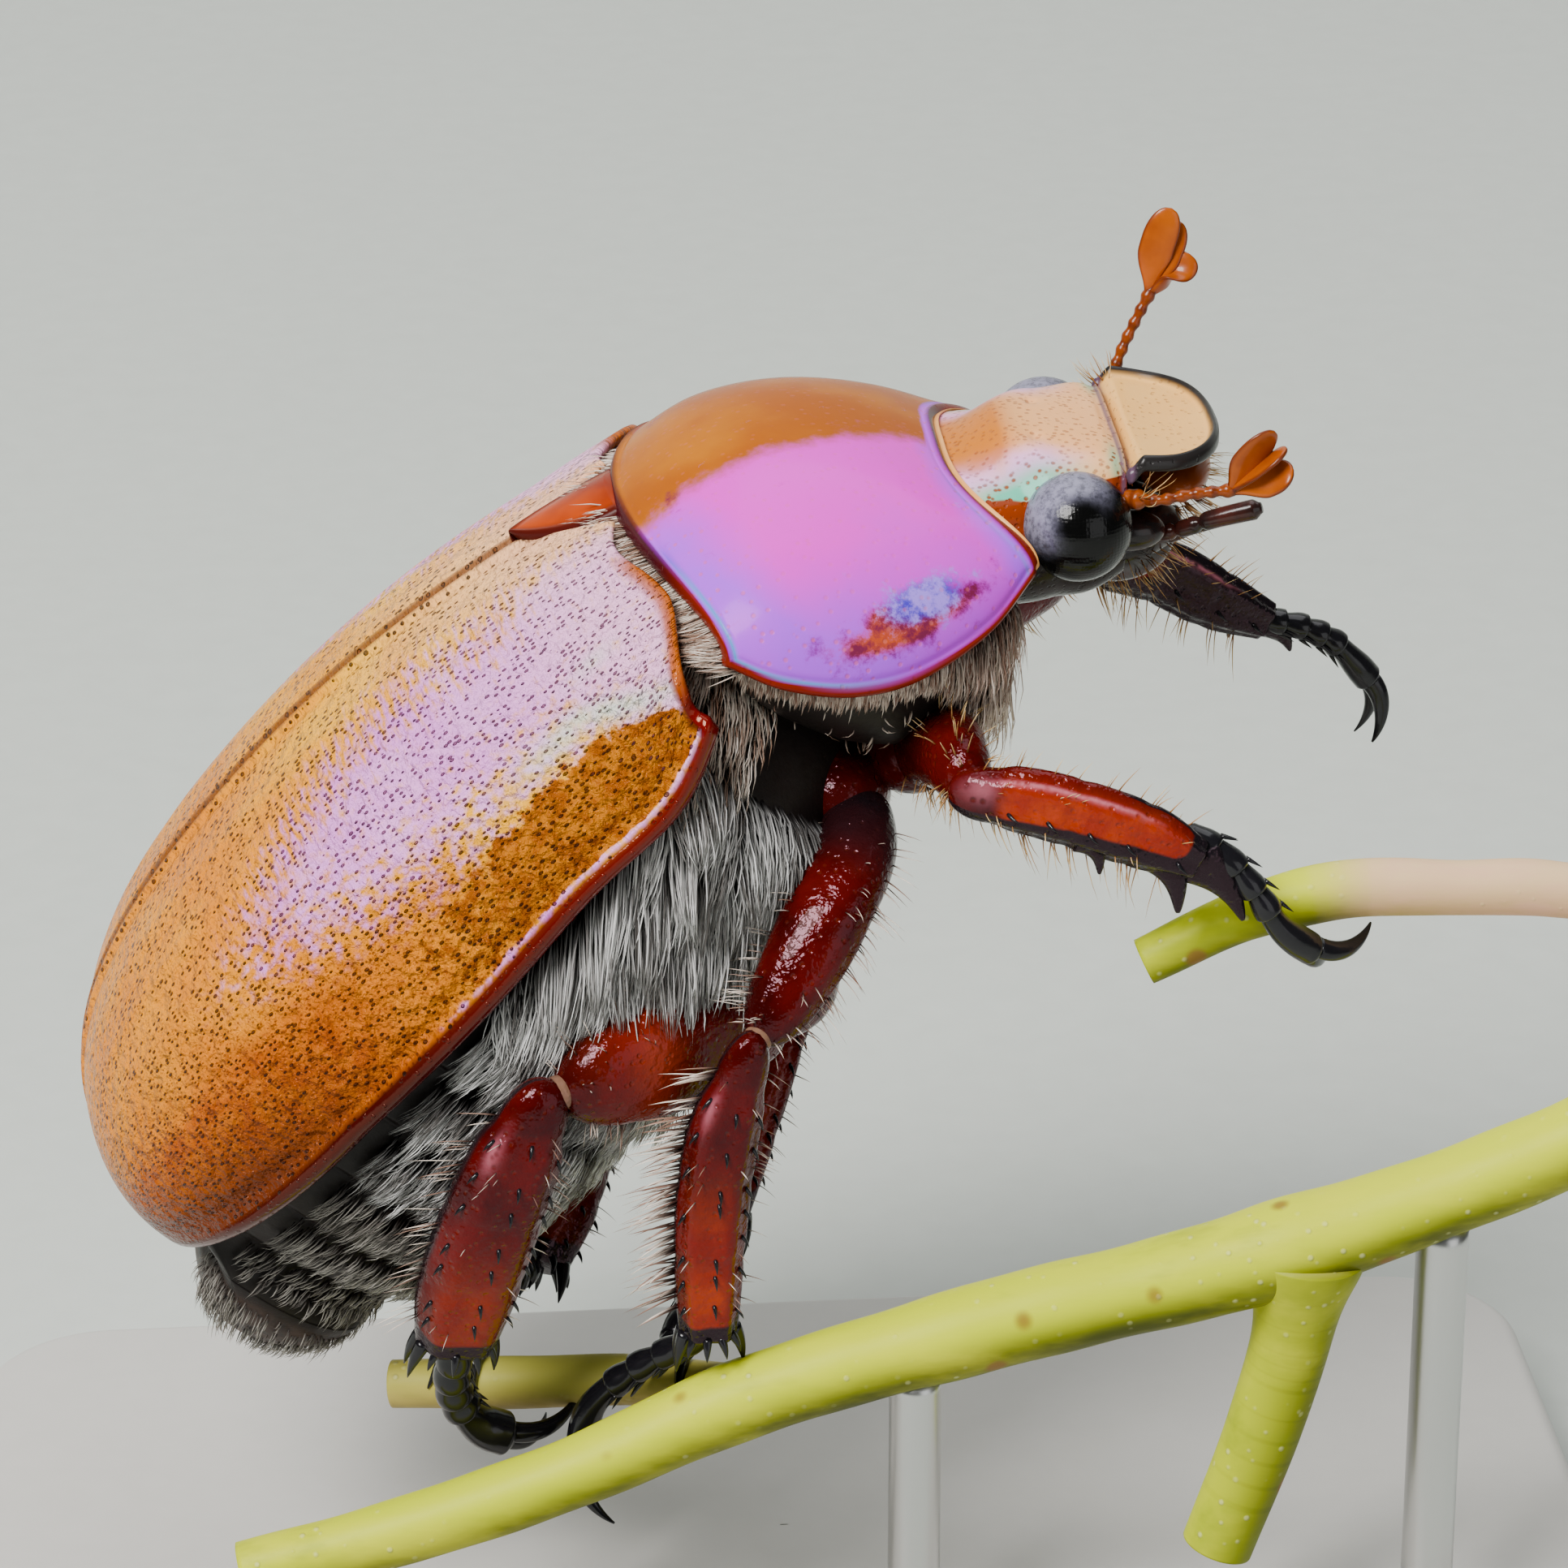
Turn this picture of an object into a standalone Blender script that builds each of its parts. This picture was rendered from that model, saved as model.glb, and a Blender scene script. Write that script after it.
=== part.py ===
"""A life-size christmas beetle climbing a forked twig, on a plain display stand.

Run with: blender --background --python part.py
All sizes below are millimetres and degrees. The meshes are written in metres, +Z up, with the
origin at the middle of the stand's underside. The beetle faces +X and its left side is +Y.
"""

import math

import bmesh
import bpy
import numpy as np

MM = 0.001
GAP = 0.3  # clearance between neighbouring pieces
SUNK = 0.45  # how far a fused piece's root goes into what carries it
SEED = 24
WELD = 0.00001  # metres between points that are made one

# Wing cases: two halves of one dome over the abdomen, measured back from the shoulder
SHOULDER = (-2.12, 24.70)  # x and z of the dome's base at the side edge
BODY_PITCH = 50.5
CASE_LENGTH = 17.35
CASE_HALF_WIDTH = 7.05
CASE_HEIGHT = 5.0
CASE_WIDEST = 9.0
CASE_HIGHEST = 9.5
CASE_WALL = 0.6
CASE_FULLNESS = 2.3

# Belly under the wing cases
BELLY_DEPTH = 6.2
WAIST = 7.6  # how far back the hind body begins
TAIL_PLATE = 16.9

# Neck shield: x and z of the middle line, then x, half width and z of the side edge, then x and z below
SHIELD = (
    (3.10, 28.25, 4.72, 3.90, 26.62, 4.5, 23.9),
    (2.00, 28.60, 3.75, 4.85, 25.85, 4.1, 22.6),
    (0.75, 28.84, 2.35, 5.65, 25.25, 2.8, 22.2),
    (-0.70, 28.80, 0.95, 6.10, 25.08, 1.3, 22.4),
    (-2.10, 28.38, -0.45, 6.22, 25.30, 0.0, 23.1),
    (-3.55, 27.40, -1.66, 6.03, 25.78, -1.0, 24.0),
)
SHIELD_WALL = 0.6
SHIELD_FULLNESS = 2.25

# Head: x, z, pitch, half width, height up and depth down
HEAD = (
    (2.8, 27.1, 0, 3.45, 1.35, 1.9),
    (4.0, 27.1, 0, 3.50, 1.52, 2.0),
    (5.0, 27.1, 0, 3.30, 1.52, 2.0),
    (5.9, 27.2, 0, 2.95, 1.38, 1.9),
    (6.75, 27.3, 0, 2.6, 1.22, 1.5),
)
EYE_RADIUS = 1.12
EYE_CENTRE = (5.72, 2.78, 27.22)
FACE_BASE = 7.05
FACE_TIP = 8.92
FACE_HALF_WIDTH = 2.75

# Twig and stand
STAND_LENGTH = 36.0
STAND_WIDTH = 21.0
STAND_THICKNESS = 2.5
STAND_CORNER = 3.0
ROD_RADIUS = 0.55
ROD_STATIONS = (2.2, 13.2)

# Stalks: x, y, z and radius along each one, the root first
STEM = (
    (-11.9, -6.3, 5.70, 0.66),
    (-8.49, -6.3, 6.55, 0.70),
    (-5.07, -6.3, 7.71, 0.76),
    (-1.67, -6.3, 9.23, 0.83),
    (3.41, -6.3, 10.75, 0.92),
    (9.50, -6.3, 12.24, 0.97),
    (15.74, -6.3, 14.52, 0.86),
    (18.30, -6.3, 15.75, 0.84),
)
SIDE_SHOOT = (
    (10.3, -6.3, 12.3, 0.95),
    (10.1, -6.3, 10.3, 0.82),
    (9.6, -6.3, 8.2, 0.78),
    (8.67, -6.3, 5.3, 0.76),
)
FRONT_TWIG = (
    (18.2, -6.2, 16.2, 0.50),
    (17.9, -6.1, 18.3, 0.52),
    (16.9, -5.9, 19.7, 0.55),
    (15.2, -5.7, 20.10, 0.57),
    (13.4, -5.6, 20.15, 0.58),
    (10.7, -5.5, 20.13, 0.60),
    (9.05, -5.5, 19.71, 0.54),
    (6.9, -5.5, 18.70, 0.50),
)
REAR_TWIG = (
    (-0.9, -6.1, 9.3, 0.58),
    (-1.90, -4.8, 8.74, 0.58),
    (-3.36, -3.5, 8.31, 0.56),
    (-5.75, -3.0, 8.09, 0.56),
    (-8.6, -2.2, 7.74, 0.52),
)

# Legs: for each one the hip, the thigh, the shin and the foot as x, y, z along the middle line
LEGS = {
    "front_right": (
        (2.4, -2.45, 22.4),
        ((2.4, -2.6, 22.4), (2.75, -3.7, 22.9), (3.0, -4.9, 23.2), (3.15, -5.9, 23.1)),
        (
            (3.09, -6.3, 23.01),
            (4.52, -6.70, 22.87),
            (5.64, -6.90, 22.56),
            (6.78, -7.00, 22.12),
            (7.69, -7.00, 21.63),
        ),
        (
            (7.57, -6.60, 22.08),
            (8.21, -6.80, 21.70),
            (8.88, -6.95, 20.91),
            (9.48, -6.90, 19.99),
            (10.22, -6.60, 19.32),
        ),
    ),
    "front_left": (
        (2.4, 2.45, 22.4),
        ((2.5, 2.7, 22.4), (3.8, 3.4, 22.6), (5.1, 4.2, 22.9), (6.4, 5.0, 23.1)),
        ((6.7, 5.1, 23.25), (7.6, 5.3, 23.2), (8.56, 5.6, 22.84), (10.04, 5.8, 21.94), (11.17, 6.0, 21.33)),
        ((11.1, 6.0, 21.4), (12.08, 6.05, 21.11), (12.7, 6.1, 20.75), (13.2, 6.2, 20.2), (13.6, 6.3, 19.7)),
    ),
    "middle_right": (
        (0.9, -2.5, 21.5),
        ((1.2, -3.0, 21.5), (1.1, -4.3, 20.9), (0.4, -5.40, 20.0), (-0.95, -6.55, 18.0)),
        (
            (-1.28, -6.90, 17.80),
            (-1.85, -6.80, 15.76),
            (-2.10, -6.60, 13.42),
            (-2.12, -6.35, 12.0),
            (-2.11, -6.20, 10.95),
        ),
        (
            (-2.14, -5.95, 10.75),
            (-2.79, -5.40, 10.09),
            (-3.70, -4.95, 9.31),
            (-4.50, -4.75, 8.40),
            (-4.75, -4.75, 7.35),
        ),
    ),
    "middle_left": (
        (0.9, 2.5, 21.5),
        ((1.2, 2.6, 21.4), (1.3, 3.3, 19.8), (1.2, 3.6, 18.2), (1.0, 3.6, 16.6)),
        ((0.95, 3.5, 16.2), (0.3, 2.7, 14.6), (-0.4, 1.5, 12.9), (-1.0, 0.4, 11.5), (-1.4, -0.4, 10.6)),
        ((-1.5, -0.7, 10.4), (-1.9, -1.6, 10.0), (-2.2, -2.5, 9.75), (-2.45, -3.3, 9.6), (-2.65, -4.0, 9.45)),
    ),
    "hind_right": (
        (-0.6, -2.9, 17.4),
        ((-0.5, -3.4, 17.0), (-1.8, -4.6, 17.1), (-3.3, -5.70, 17.1), (-4.88, -6.6, 16.8)),
        (
            (-5.47, -6.90, 16.90),
            (-6.15, -6.80, 15.21),
            (-6.75, -6.45, 13.4),
            (-7.1, -6.1, 12.0),
            (-7.33, -5.80, 10.77),
        ),
        (
            (-7.30, -5.60, 10.45),
            (-7.42, -5.15, 9.5),
            (-7.25, -4.75, 8.65),
            (-6.8, -4.5, 7.95),
            (-6.2, -4.35, 7.6),
        ),
    ),
    "hind_left": (
        (-0.6, 2.9, 17.4),
        ((-0.5, 3.4, 17.0), (-1.5, 4.4, 15.8), (-2.4, 5.2, 14.4), (-3.3, 5.7, 12.9)),
        ((-3.6, 5.6, 12.5), (-4.0, 4.7, 11.4), (-4.5, 3.7, 10.2), (-5.0, 2.6, 9.1), (-5.4, 1.8, 8.4)),
        ((-5.5, 1.5, 8.5), (-5.9, 0.6, 8.75), (-6.3, -0.4, 9.0), (-6.6, -1.3, 9.1), (-6.9, -2.2, 9.05)),
    ),
}

# Half width and half thickness along each leg piece, and the way its broad side runs
LEG_SIZES = {
    "front": (
        ((0.80, 0.66), (0.86, 0.72), (0.84, 0.70), (0.62, 0.55)),
        ((0.60, 0.46), (0.70, 0.46), (0.72, 0.42), (0.66, 0.38), (0.42, 0.30)),
        (0.34, 0.40, 1.25),
    ),
    "middle": (
        ((0.72, 0.62), (0.88, 0.72), (0.94, 0.72), (0.68, 0.56)),
        ((0.50, 0.46), (0.72, 0.52), (0.72, 0.54), (0.66, 0.54), (0.58, 0.50)),
        (0.36, 0.40, 1.35),
    ),
    "hind": (
        ((0.95, 0.75), (1.36, 0.90), (1.38, 0.92), (0.86, 0.70)),
        ((0.66, 0.52), (0.96, 0.70), (1.06, 0.76), (1.04, 0.74), (0.84, 0.66)),
        (0.46, 0.56, 1.50),
    ),
}
BROAD = {"front": (0, 0, 1), "middle": (1, 0, 0.3), "hind": (0.9, 0, 0.45)}
HIND_THIGH_BROAD = (0, 0, 1)
HIP_RADII = {"front": (1.05, 1.2, 1.0), "middle": (1.1, 1.35, 1.1), "hind": (1.5, 1.7, 1.2)}
FRONT_TEETH = {
    "right": (
        ((5.30, -6.95, 22.25), (5.72, -7.0, 21.42)),
        ((6.86, -6.98, 21.95), (7.33, -7.0, 20.50)),
        ((7.60, -7.0, 21.70), (8.66, -7.0, 20.28)),
    ),
    "left": (
        ((8.60, 5.65, 22.5), (8.95, 5.9, 21.85)),
        ((10.0, 5.85, 21.7), (10.35, 6.1, 20.95)),
        ((11.0, 6.0, 21.3), (11.75, 6.15, 20.55)),
    ),
}

COLOURS = {
    "case": ((0.80, 0.45, 0.16), 0.25),
    "shield": ((0.78, 0.42, 0.55), 0.2),
    "leg": ((0.30, 0.03, 0.02), 0.2),
    "foot": ((0.02, 0.02, 0.025), 0.2),
    "eye": ((0.03, 0.03, 0.035), 0.15),
    "club": ((0.60, 0.22, 0.04), 0.35),
    "coat": ((0.55, 0.50, 0.44), 0.8),
    "twig": ((0.52, 0.52, 0.16), 0.5),
    "stand": ((0.72, 0.70, 0.66), 0.4),
    "rod": ((0.60, 0.60, 0.60), 0.3),
}


# Feelers, drawn for the left side: the stalk, then each leaf's tip and its share of the full width
FEELER_RIGHT = ((6.75, 2.55, 27.70), (7.35, 2.95, 27.80), (8.04, 3.05, 27.95), (8.85, 3.15, 28.05))
FEELER_LEAVES_RIGHT = (((9.60, 3.3, 29.35), 0.9), ((9.85, 3.4, 29.0), 0.95), ((9.98, 3.5, 28.58), 0.85))
FEELER_LEFT = ((7.05, 2.75, 28.05), (7.45, 3.05, 29.0), (7.75, 3.15, 29.6), (8.0, 3.2, 30.1))
FEELER_LEAVES_LEFT = (((8.42, 3.35, 31.85), 1.0), ((8.60, 3.6, 31.5), 0.95), ((8.82, 3.3, 30.85), 0.85))

PALPS = {
    1: ((7.5, 1.45, 26.35), (8.0, 1.8, 26.25), (8.5, 2.1, 26.1), (9.1, 2.4, 26.0)),
    -1: ((7.5, -1.45, 26.45), (8.0, -1.8, 26.7), (8.55, -2.1, 27.0), (9.55, -2.4, 27.35)),
}

# Which way each foot's claws curl
CLAW_CURL = {
    "front_right": (0.3, 1, 0.6),
    "front_left": (-0.2, 0, -1),
    "middle_right": (1, -0.3, -0.3),
    "middle_left": (-0.4, -0.3, -1),
    "hind_right": (0.6, 0.8, 0.2),
    "hind_left": (-0.3, -0.4, -1),
}

# Coat rows: distance back, first and last turn round the trunk, locks on each side, length
CHEST_COAT = (
    (0.9, -20, -46, 3, 2.4),
    (2.2, -18, -56, 4, 2.5),
    (3.5, -16, -58, 4, 2.5),
    (4.8, -16, -42, 3, 2.2),
)
BELLY_COAT = (
    (8.6, -26, -46, 2, 1.8),
    (10.4, -26, -46, 2, 1.8),
    (12.2, -26, -46, 2, 1.7),
    (14.0, -26, -46, 2, 1.6),
)


def finish_of(kind):
    """The plain Principled material of one kind of surface."""
    material = bpy.data.materials.get(kind)
    if material is None:
        colour, roughness = COLOURS[kind]
        material = bpy.data.materials.new(kind)
        material.use_nodes = True
        shader = material.node_tree.nodes["Principled BSDF"]
        shader.inputs["Base Color"].default_value = (*colour, 1)
        shader.inputs["Roughness"].default_value = roughness
        shader.inputs["Metallic"].default_value = 1.0 if kind == "rod" else 0.0
    return material


def unit(vector):
    vector = np.asarray(vector, float)
    return vector / np.linalg.norm(vector)


def smooth(stations, count):
    """Points on a smooth curve through the stations, evenly spread between the first and the last."""
    stations = np.asarray(stations, float)
    spans = np.linalg.norm(np.diff(stations[:, :3], axis=0), axis=1)
    knots = np.concatenate([[0.0], np.cumsum(spans)])
    slopes = np.gradient(stations, knots, axis=0)
    at = np.linspace(0.0, knots[-1], count)
    k = np.clip(np.searchsorted(knots, at, side="right") - 1, 0, len(knots) - 2)
    width = (knots[k + 1] - knots[k])[:, None]
    s = ((at - knots[k])[:, None]) / width
    return (
        (2 * s**3 - 3 * s**2 + 1) * stations[k]
        + (s**3 - 2 * s**2 + s) * width * slopes[k]
        + (3 * s**2 - 2 * s**3) * stations[k + 1]
        + (s**3 - s**2) * width * slopes[k + 1]
    )


def rounded(angle, fullness):
    """Cosine and sine of a superellipse: 2 is an ellipse, and more is fuller."""
    power = 2.0 / fullness
    c, s = np.cos(angle), np.sin(angle)
    return np.sign(c) * np.abs(c) ** power, np.sign(s) * np.abs(s) ** power


def axes_of(pitch):
    """The forward and the upward direction of a piece that is tipped up by pitch degrees."""
    a = math.radians(pitch)
    return np.array([math.cos(a), 0, math.sin(a)]), np.array([-math.sin(a), 0, math.cos(a)])


def object_from(name, points, faces, kind="leg"):
    """A mesh object from millimetre points, with its faces turned outwards."""
    mesh = bpy.data.meshes.new(name)
    mesh.from_pydata((np.asarray(points) * MM).tolist(), [], [list(f) for f in faces])
    work = bmesh.new()
    work.from_mesh(mesh)
    bmesh.ops.remove_doubles(work, verts=work.verts, dist=1e-6)
    bmesh.ops.recalc_face_normals(work, faces=work.faces)
    work.to_mesh(mesh)
    work.free()
    mesh.materials.append(finish_of(kind))
    piece = bpy.data.objects.new(name, mesh)
    bpy.context.scene.collection.objects.link(piece)
    return piece


def loft(name, rings, kind="leg"):
    """A closed body through closed rings of points, with a fan over each end."""
    rings = np.asarray(rings, float)
    count, sides = rings.shape[:2]
    points = rings.reshape(-1, 3).tolist()
    faces = []
    for i in range(count - 1):
        for j in range(sides):
            k = (j + 1) % sides
            faces.append((i * sides + j, i * sides + k, (i + 1) * sides + k, (i + 1) * sides + j))
    for i in (0, count - 1):
        points.append(rings[i].mean(axis=0).tolist())
        hub = len(points) - 1
        for j in range(sides):
            faces.append((i * sides + j, i * sides + (j + 1) % sides, hub))
    return object_from(name, points, faces, kind)


def shell(name, outer, inner, kind):
    """A closed wall between two grids of points that have the same rows and columns."""
    rows, columns = outer.shape[:2]
    points = np.concatenate([outer.reshape(-1, 3), inner.reshape(-1, 3)])
    under = rows * columns
    faces = []
    for i in range(rows - 1):
        for j in range(columns - 1):
            a, b = i * columns + j, i * columns + j + 1
            c, d = b + columns, a + columns
            faces.append((a, b, c, d))
            faces.append((under + d, under + c, under + b, under + a))
    rim = [j for j in range(columns)]
    rim += [i * columns + columns - 1 for i in range(1, rows)]
    rim += [(rows - 1) * columns + j for j in range(columns - 2, -1, -1)]
    rim += [i * columns for i in range(rows - 2, 0, -1)]
    for a, b in zip(rim, rim[1:] + rim[:1]):
        faces.append((a, under + a, under + b, b))
    return object_from(name, points, faces, kind)


def body_rings(stations, count, sides, fullness, grow=0.0):
    """Rings of a mirror-symmetric body. A station is x, z, pitch, half width, height up and depth down."""
    table = np.array([(x, 0, z, p, w, u, d) for x, z, p, w, u, d in stations], float)
    line = smooth(table, count)
    angle = np.linspace(0, 2 * math.pi, sides, endpoint=False)
    c, s = rounded(angle, fullness)
    rings = []
    for k, (x, _, z, pitch, half_width, up, down) in enumerate(line):
        forward, dorsal = axes_of(pitch)
        end = -grow if k == 0 else grow if k == count - 1 else 0.0
        centre = np.array([x, 0, z]) + forward * end
        across = (half_width + grow) * c
        height = np.where(s > 0, (up + grow) * s, (down + grow) * s)
        rings.append(centre + across[:, None] * [0, 1, 0] + height[:, None] * dorsal)
    return np.array(rings)


def tube_rings(path, radii, flat, sides, grow=0.0):
    """Rings round a path. radii are half width along flat and half thickness across it."""
    path, radii = np.asarray(path, float), np.asarray(radii, float)
    tangents = np.gradient(path, axis=0)
    angle = np.linspace(0, 2 * math.pi, sides, endpoint=False) + math.pi / sides
    rings = []
    for k, (point, tangent) in enumerate(zip(path, tangents)):
        along = unit(tangent)
        wide = unit(np.asarray(flat, float) - np.dot(flat, along) * along)
        thick = np.cross(along, wide)
        end = -grow if k == 0 else grow if k == len(path) - 1 else 0.0
        half_width, half_thick = radii[k] + grow
        rings.append(
            point
            + along * end
            + np.outer(half_width * np.cos(angle), wide)
            + np.outer(half_thick * np.sin(angle), thick)
        )
    return np.array(rings)


def spike(base, tip, radius, bend=(0, 0, 0), sides=6, steps=3, pad=0.0):
    """A tapered, bent thorn from base to tip, as an object."""
    base, tip, bend = (np.asarray(v, float) for v in (base, tip, bend))
    s = np.linspace(0, 1, steps + 1)[:, None]
    path = base + (tip - base) * s + bend * 4 * s * (1 - s)
    width = radius * (1 - 0.86 * s[:, 0] ** 1.4) + pad
    flat = np.cross(tip - base, (0.3, 0.9, 0.4))
    return loft("thorn", tube_rings(path, np.stack([width, 0.7 * width + 0.3 * pad], 1), flat, sides))


def ellipsoid(name, centre, radii, grow=0.0, segments=12, rows=8, kind="leg"):
    """A closed ellipsoid of rings about the X axis."""
    polar = np.linspace(0.12, math.pi - 0.12, rows)
    angle = np.linspace(0, 2 * math.pi, segments, endpoint=False)
    rx, ry, rz = (r + grow for r in radii)
    rings = [
        np.stack(
            [
                np.full(segments, -rx * math.cos(p)),
                ry * math.sin(p) * np.cos(angle),
                rz * math.sin(p) * np.sin(angle),
            ],
            1,
        )
        + np.asarray(centre, float)
        for p in polar
    ]
    return loft(name, rings, kind)


def baked(piece, operation, others):
    """piece after one Boolean with a collection of closed objects, which are then removed."""
    if not others:
        return piece
    group = bpy.data.collections.new("pieces")
    for other in others:
        group.objects.link(other)
    modifier = piece.modifiers.new(operation, "BOOLEAN")
    modifier.operation = operation
    modifier.operand_type = "COLLECTION"
    modifier.collection = group
    modifier.solver = "EXACT"
    bpy.context.view_layer.update()
    evaluated = piece.evaluated_get(bpy.context.evaluated_depsgraph_get())
    mesh = bpy.data.meshes.new_from_object(evaluated)
    piece.modifiers.clear()
    piece.data = mesh
    for other in others:
        bpy.data.objects.remove(other)
    bpy.data.collections.remove(group)
    return piece


def largest_body(piece):
    """Drops every closed surface of the piece but its largest."""
    work = bmesh.new()
    work.from_mesh(piece.data)
    bmesh.ops.triangulate(work, faces=work.faces)
    bmesh.ops.dissolve_degenerate(work, edges=work.edges, dist=WELD)
    bmesh.ops.remove_doubles(work, verts=work.verts, dist=WELD)
    bmesh.ops.triangulate(work, faces=work.faces)
    left, groups = set(work.faces), []
    while left:
        stack, group = [left.pop()], []
        while stack:
            face = stack.pop()
            group.append(face)
            for edge in face.edges:
                for other in edge.link_faces:
                    if len(edge.link_faces) == 2 and other in left:
                        left.remove(other)
                        stack.append(other)
        groups.append(group)
    groups.sort(key=lambda group: -sum(face.calc_area() for face in group))
    bmesh.ops.delete(work, geom=[face for group in groups[1:] for face in group], context="FACES")
    bmesh.ops.delete(work, geom=[v for v in work.verts if not v.link_faces], context="VERTS")
    work.to_mesh(piece.data)
    work.free()
    return piece


def node(name, pieces, cutters=(), kind="leg"):
    """One named sub-part: its pieces fused, cut clear of its neighbours, and kept as one closed body."""
    piece = baked(pieces[0], "UNION", list(pieces[1:]))
    piece = baked(piece, "DIFFERENCE", list(cutters))
    largest_body(piece)
    piece.name = piece.data.name = name
    piece.data.materials.clear()
    piece.data.materials.append(finish_of(kind))
    piece.data.shade_smooth()
    piece.data.set_sharp_from_angle(angle=math.radians(35))
    return piece


def on_body(back, across, up):
    """World point of a place on the hind body: back from the shoulder, across, and up from the side edge."""
    forward, dorsal = axes_of(BODY_PITCH)
    start = np.array([SHOULDER[0], 0, SHOULDER[1]])
    back, across, up = (np.asarray(v, float)[..., None] for v in (back, across, up))
    return start - forward * back + dorsal * up + across * np.array([0, 1, 0])


def case_half_width(back):
    """Half width of the wing-case dome: nearly straight sides, then a full round end."""
    rear = np.clip((back - CASE_WIDEST) / (CASE_LENGTH - CASE_WIDEST), 0, 1)
    front = np.clip((CASE_WIDEST - back) / CASE_WIDEST, 0, 2)
    return CASE_HALF_WIDTH * (1 - 0.10 * front**2) * (1 - rear**2.5) ** (1 / 2.5)


def case_height(back):
    """Height of the dome's middle line over its side edge."""
    rear = np.clip((back - CASE_HIGHEST) / (CASE_LENGTH - CASE_HIGHEST), 0, 1)
    front = np.clip((CASE_HIGHEST - back) / CASE_HIGHEST, 0, 2)
    return CASE_HEIGHT * (1 - 0.32 * front**2) * (1 - rear**2.5) ** (1 / 2.5)


def case_edge(back):
    """How far the side edge swings above or below the straight line of the hind body."""
    sag = -0.34 * np.sin(math.pi * np.clip(back, 0, 11) / 11)
    return sag + 0.5 * np.clip((back - 10.5) / 6.7, 0, 1) ** 2


def case_start(side_share):
    """How far back a wing case begins: notched beside the scutellum and rounded at the shoulder."""
    shoulder = 1.25 * np.clip((side_share - 0.7) / 0.3, 0, 1) ** 2
    notch = 2.45 * np.clip(1 - side_share / 0.27, 0, 1)
    return shoulder + notch - 1.25


def case_grid(inset, rows, columns, drop=0.0):
    """A grid on one side's dome, inset from its outer face. Columns run from the seam to the side edge."""
    side_angle = np.concatenate([[90, 84, 78], np.linspace(70, 0, columns - 3)])
    c, s = rounded(np.radians(side_angle), CASE_FULLNESS)
    start = case_start(c) + inset * 0.4
    end = CASE_LENGTH - inset
    share = np.linspace(0, 1, rows)[:, None]
    share = 1 - (1 - share) ** 1.35
    back = start + (end - start) * share
    scale_back = np.clip(back * CASE_LENGTH / end, -3, CASE_LENGTH)
    half = np.maximum(case_half_width(scale_back) * (1 - inset / CASE_HALF_WIDTH), 0)
    high = np.maximum(case_height(scale_back) - inset * (case_height(scale_back) / CASE_HEIGHT), 0)
    across = GAP / 2 + (half - GAP / 2) * c
    return back, across, high * s + (case_edge(scale_back) - drop) * (1 - s)


def case_raw(side, outer=0.0, inner=CASE_WALL, drop=0.0):
    """One wing case as a shell between two insets from the dome."""
    grids = []
    for inset in (outer, inner):
        back, across, up = case_grid(inset, 17, 11, drop)
        grids.append(on_body(back[:-1], side * across[:-1], up[:-1]))
    return shell("case", grids[0], grids[1], "case")


def wing_case(side):
    """One wing case: a shell over half of the hind body."""
    node("wing_case_left" if side > 0 else "wing_case_right", [case_raw(side)], kind="case")


def case_cutters():
    """The space of both wing cases with a gap round it."""
    return [case_raw(side, -GAP, CASE_WALL + GAP, GAP) for side in (1, -1)]


def trunk_stations():
    """Rings of the body under the wing cases: back, half width, ring middle, height up, depth down."""
    clear = CASE_WALL + GAP + 0.05
    rows = []
    for back in (-0.9, 0.2, 1.6, 3.4, 5.4, 7.4, 9.4, 11.4, 13.2, 14.6, 15.7):
        narrow = 1.0 if back > 1 else 0.62 + 0.38 * (back + 0.9) / 1.9
        half = (float(case_half_width(back)) - clear) * narrow
        up = (float(case_height(max(back, 0))) - clear) * narrow
        down = BELLY_DEPTH * (0.74 + 0.26 * min(1, (back + 0.9) / 3.5))
        down -= 1.3 * max(0, (back - 10.5) / 5) ** 2
        rows.append((back, half, 0.0, up, down))
    rows.append((16.6, 3.9, -1.1, 0.8, 3.7))
    rows.append((17.4, 3.3, -1.9, 1.3, 2.5))
    rows.append((18.1, 2.3, -2.2, 1.0, 1.5))
    rows.append((18.6, 1.0, -2.4, 0.5, 0.7))
    return rows


def trunk_rings(first, last, count, sides, grow=0.0, grooves=False):
    """Rings of the trunk between two distances back, with the belly's cross grooves if asked for."""
    rows = np.array(trunk_stations())
    back = np.linspace(first, last, count)
    values = [np.interp(back, rows[:, 0], rows[:, k]) for k in range(1, 5)]
    angle = np.linspace(0, 2 * math.pi, sides, endpoint=False)
    c, s = rounded(angle, CASE_FULLNESS)
    rings = []
    for k in range(count):
        half, middle, up, down = (v[k] for v in values)
        dent = 0.22 if grooves and k % 2 else 0.0
        end = -grow if k == 0 else grow if k == count - 1 else 0.0
        below = np.where(s < 0, 1.0, 0.0)
        across = (half + grow - dent * below) * c
        height = middle + np.where(s > 0, (up + grow) * s, (down + grow - dent) * s)
        rings.append(on_body(np.full(sides, back[k] + end), across, height))
    return np.array(rings)


def shield_values(count, first=0.0, last=1.0):
    """The shield's station values, evenly spread from the front to the hind edge."""
    table = np.array([(s[0], 0, s[1], s[2], s[3], s[4], s[5], s[6]) for s in SHIELD])
    fine = smooth(table, 201)
    at = np.linspace(first, last, count) * 200
    return np.stack([np.interp(at, np.arange(201), fine[:, k]) for k in (0, 2, 3, 4, 5, 6, 7)], 1)


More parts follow.
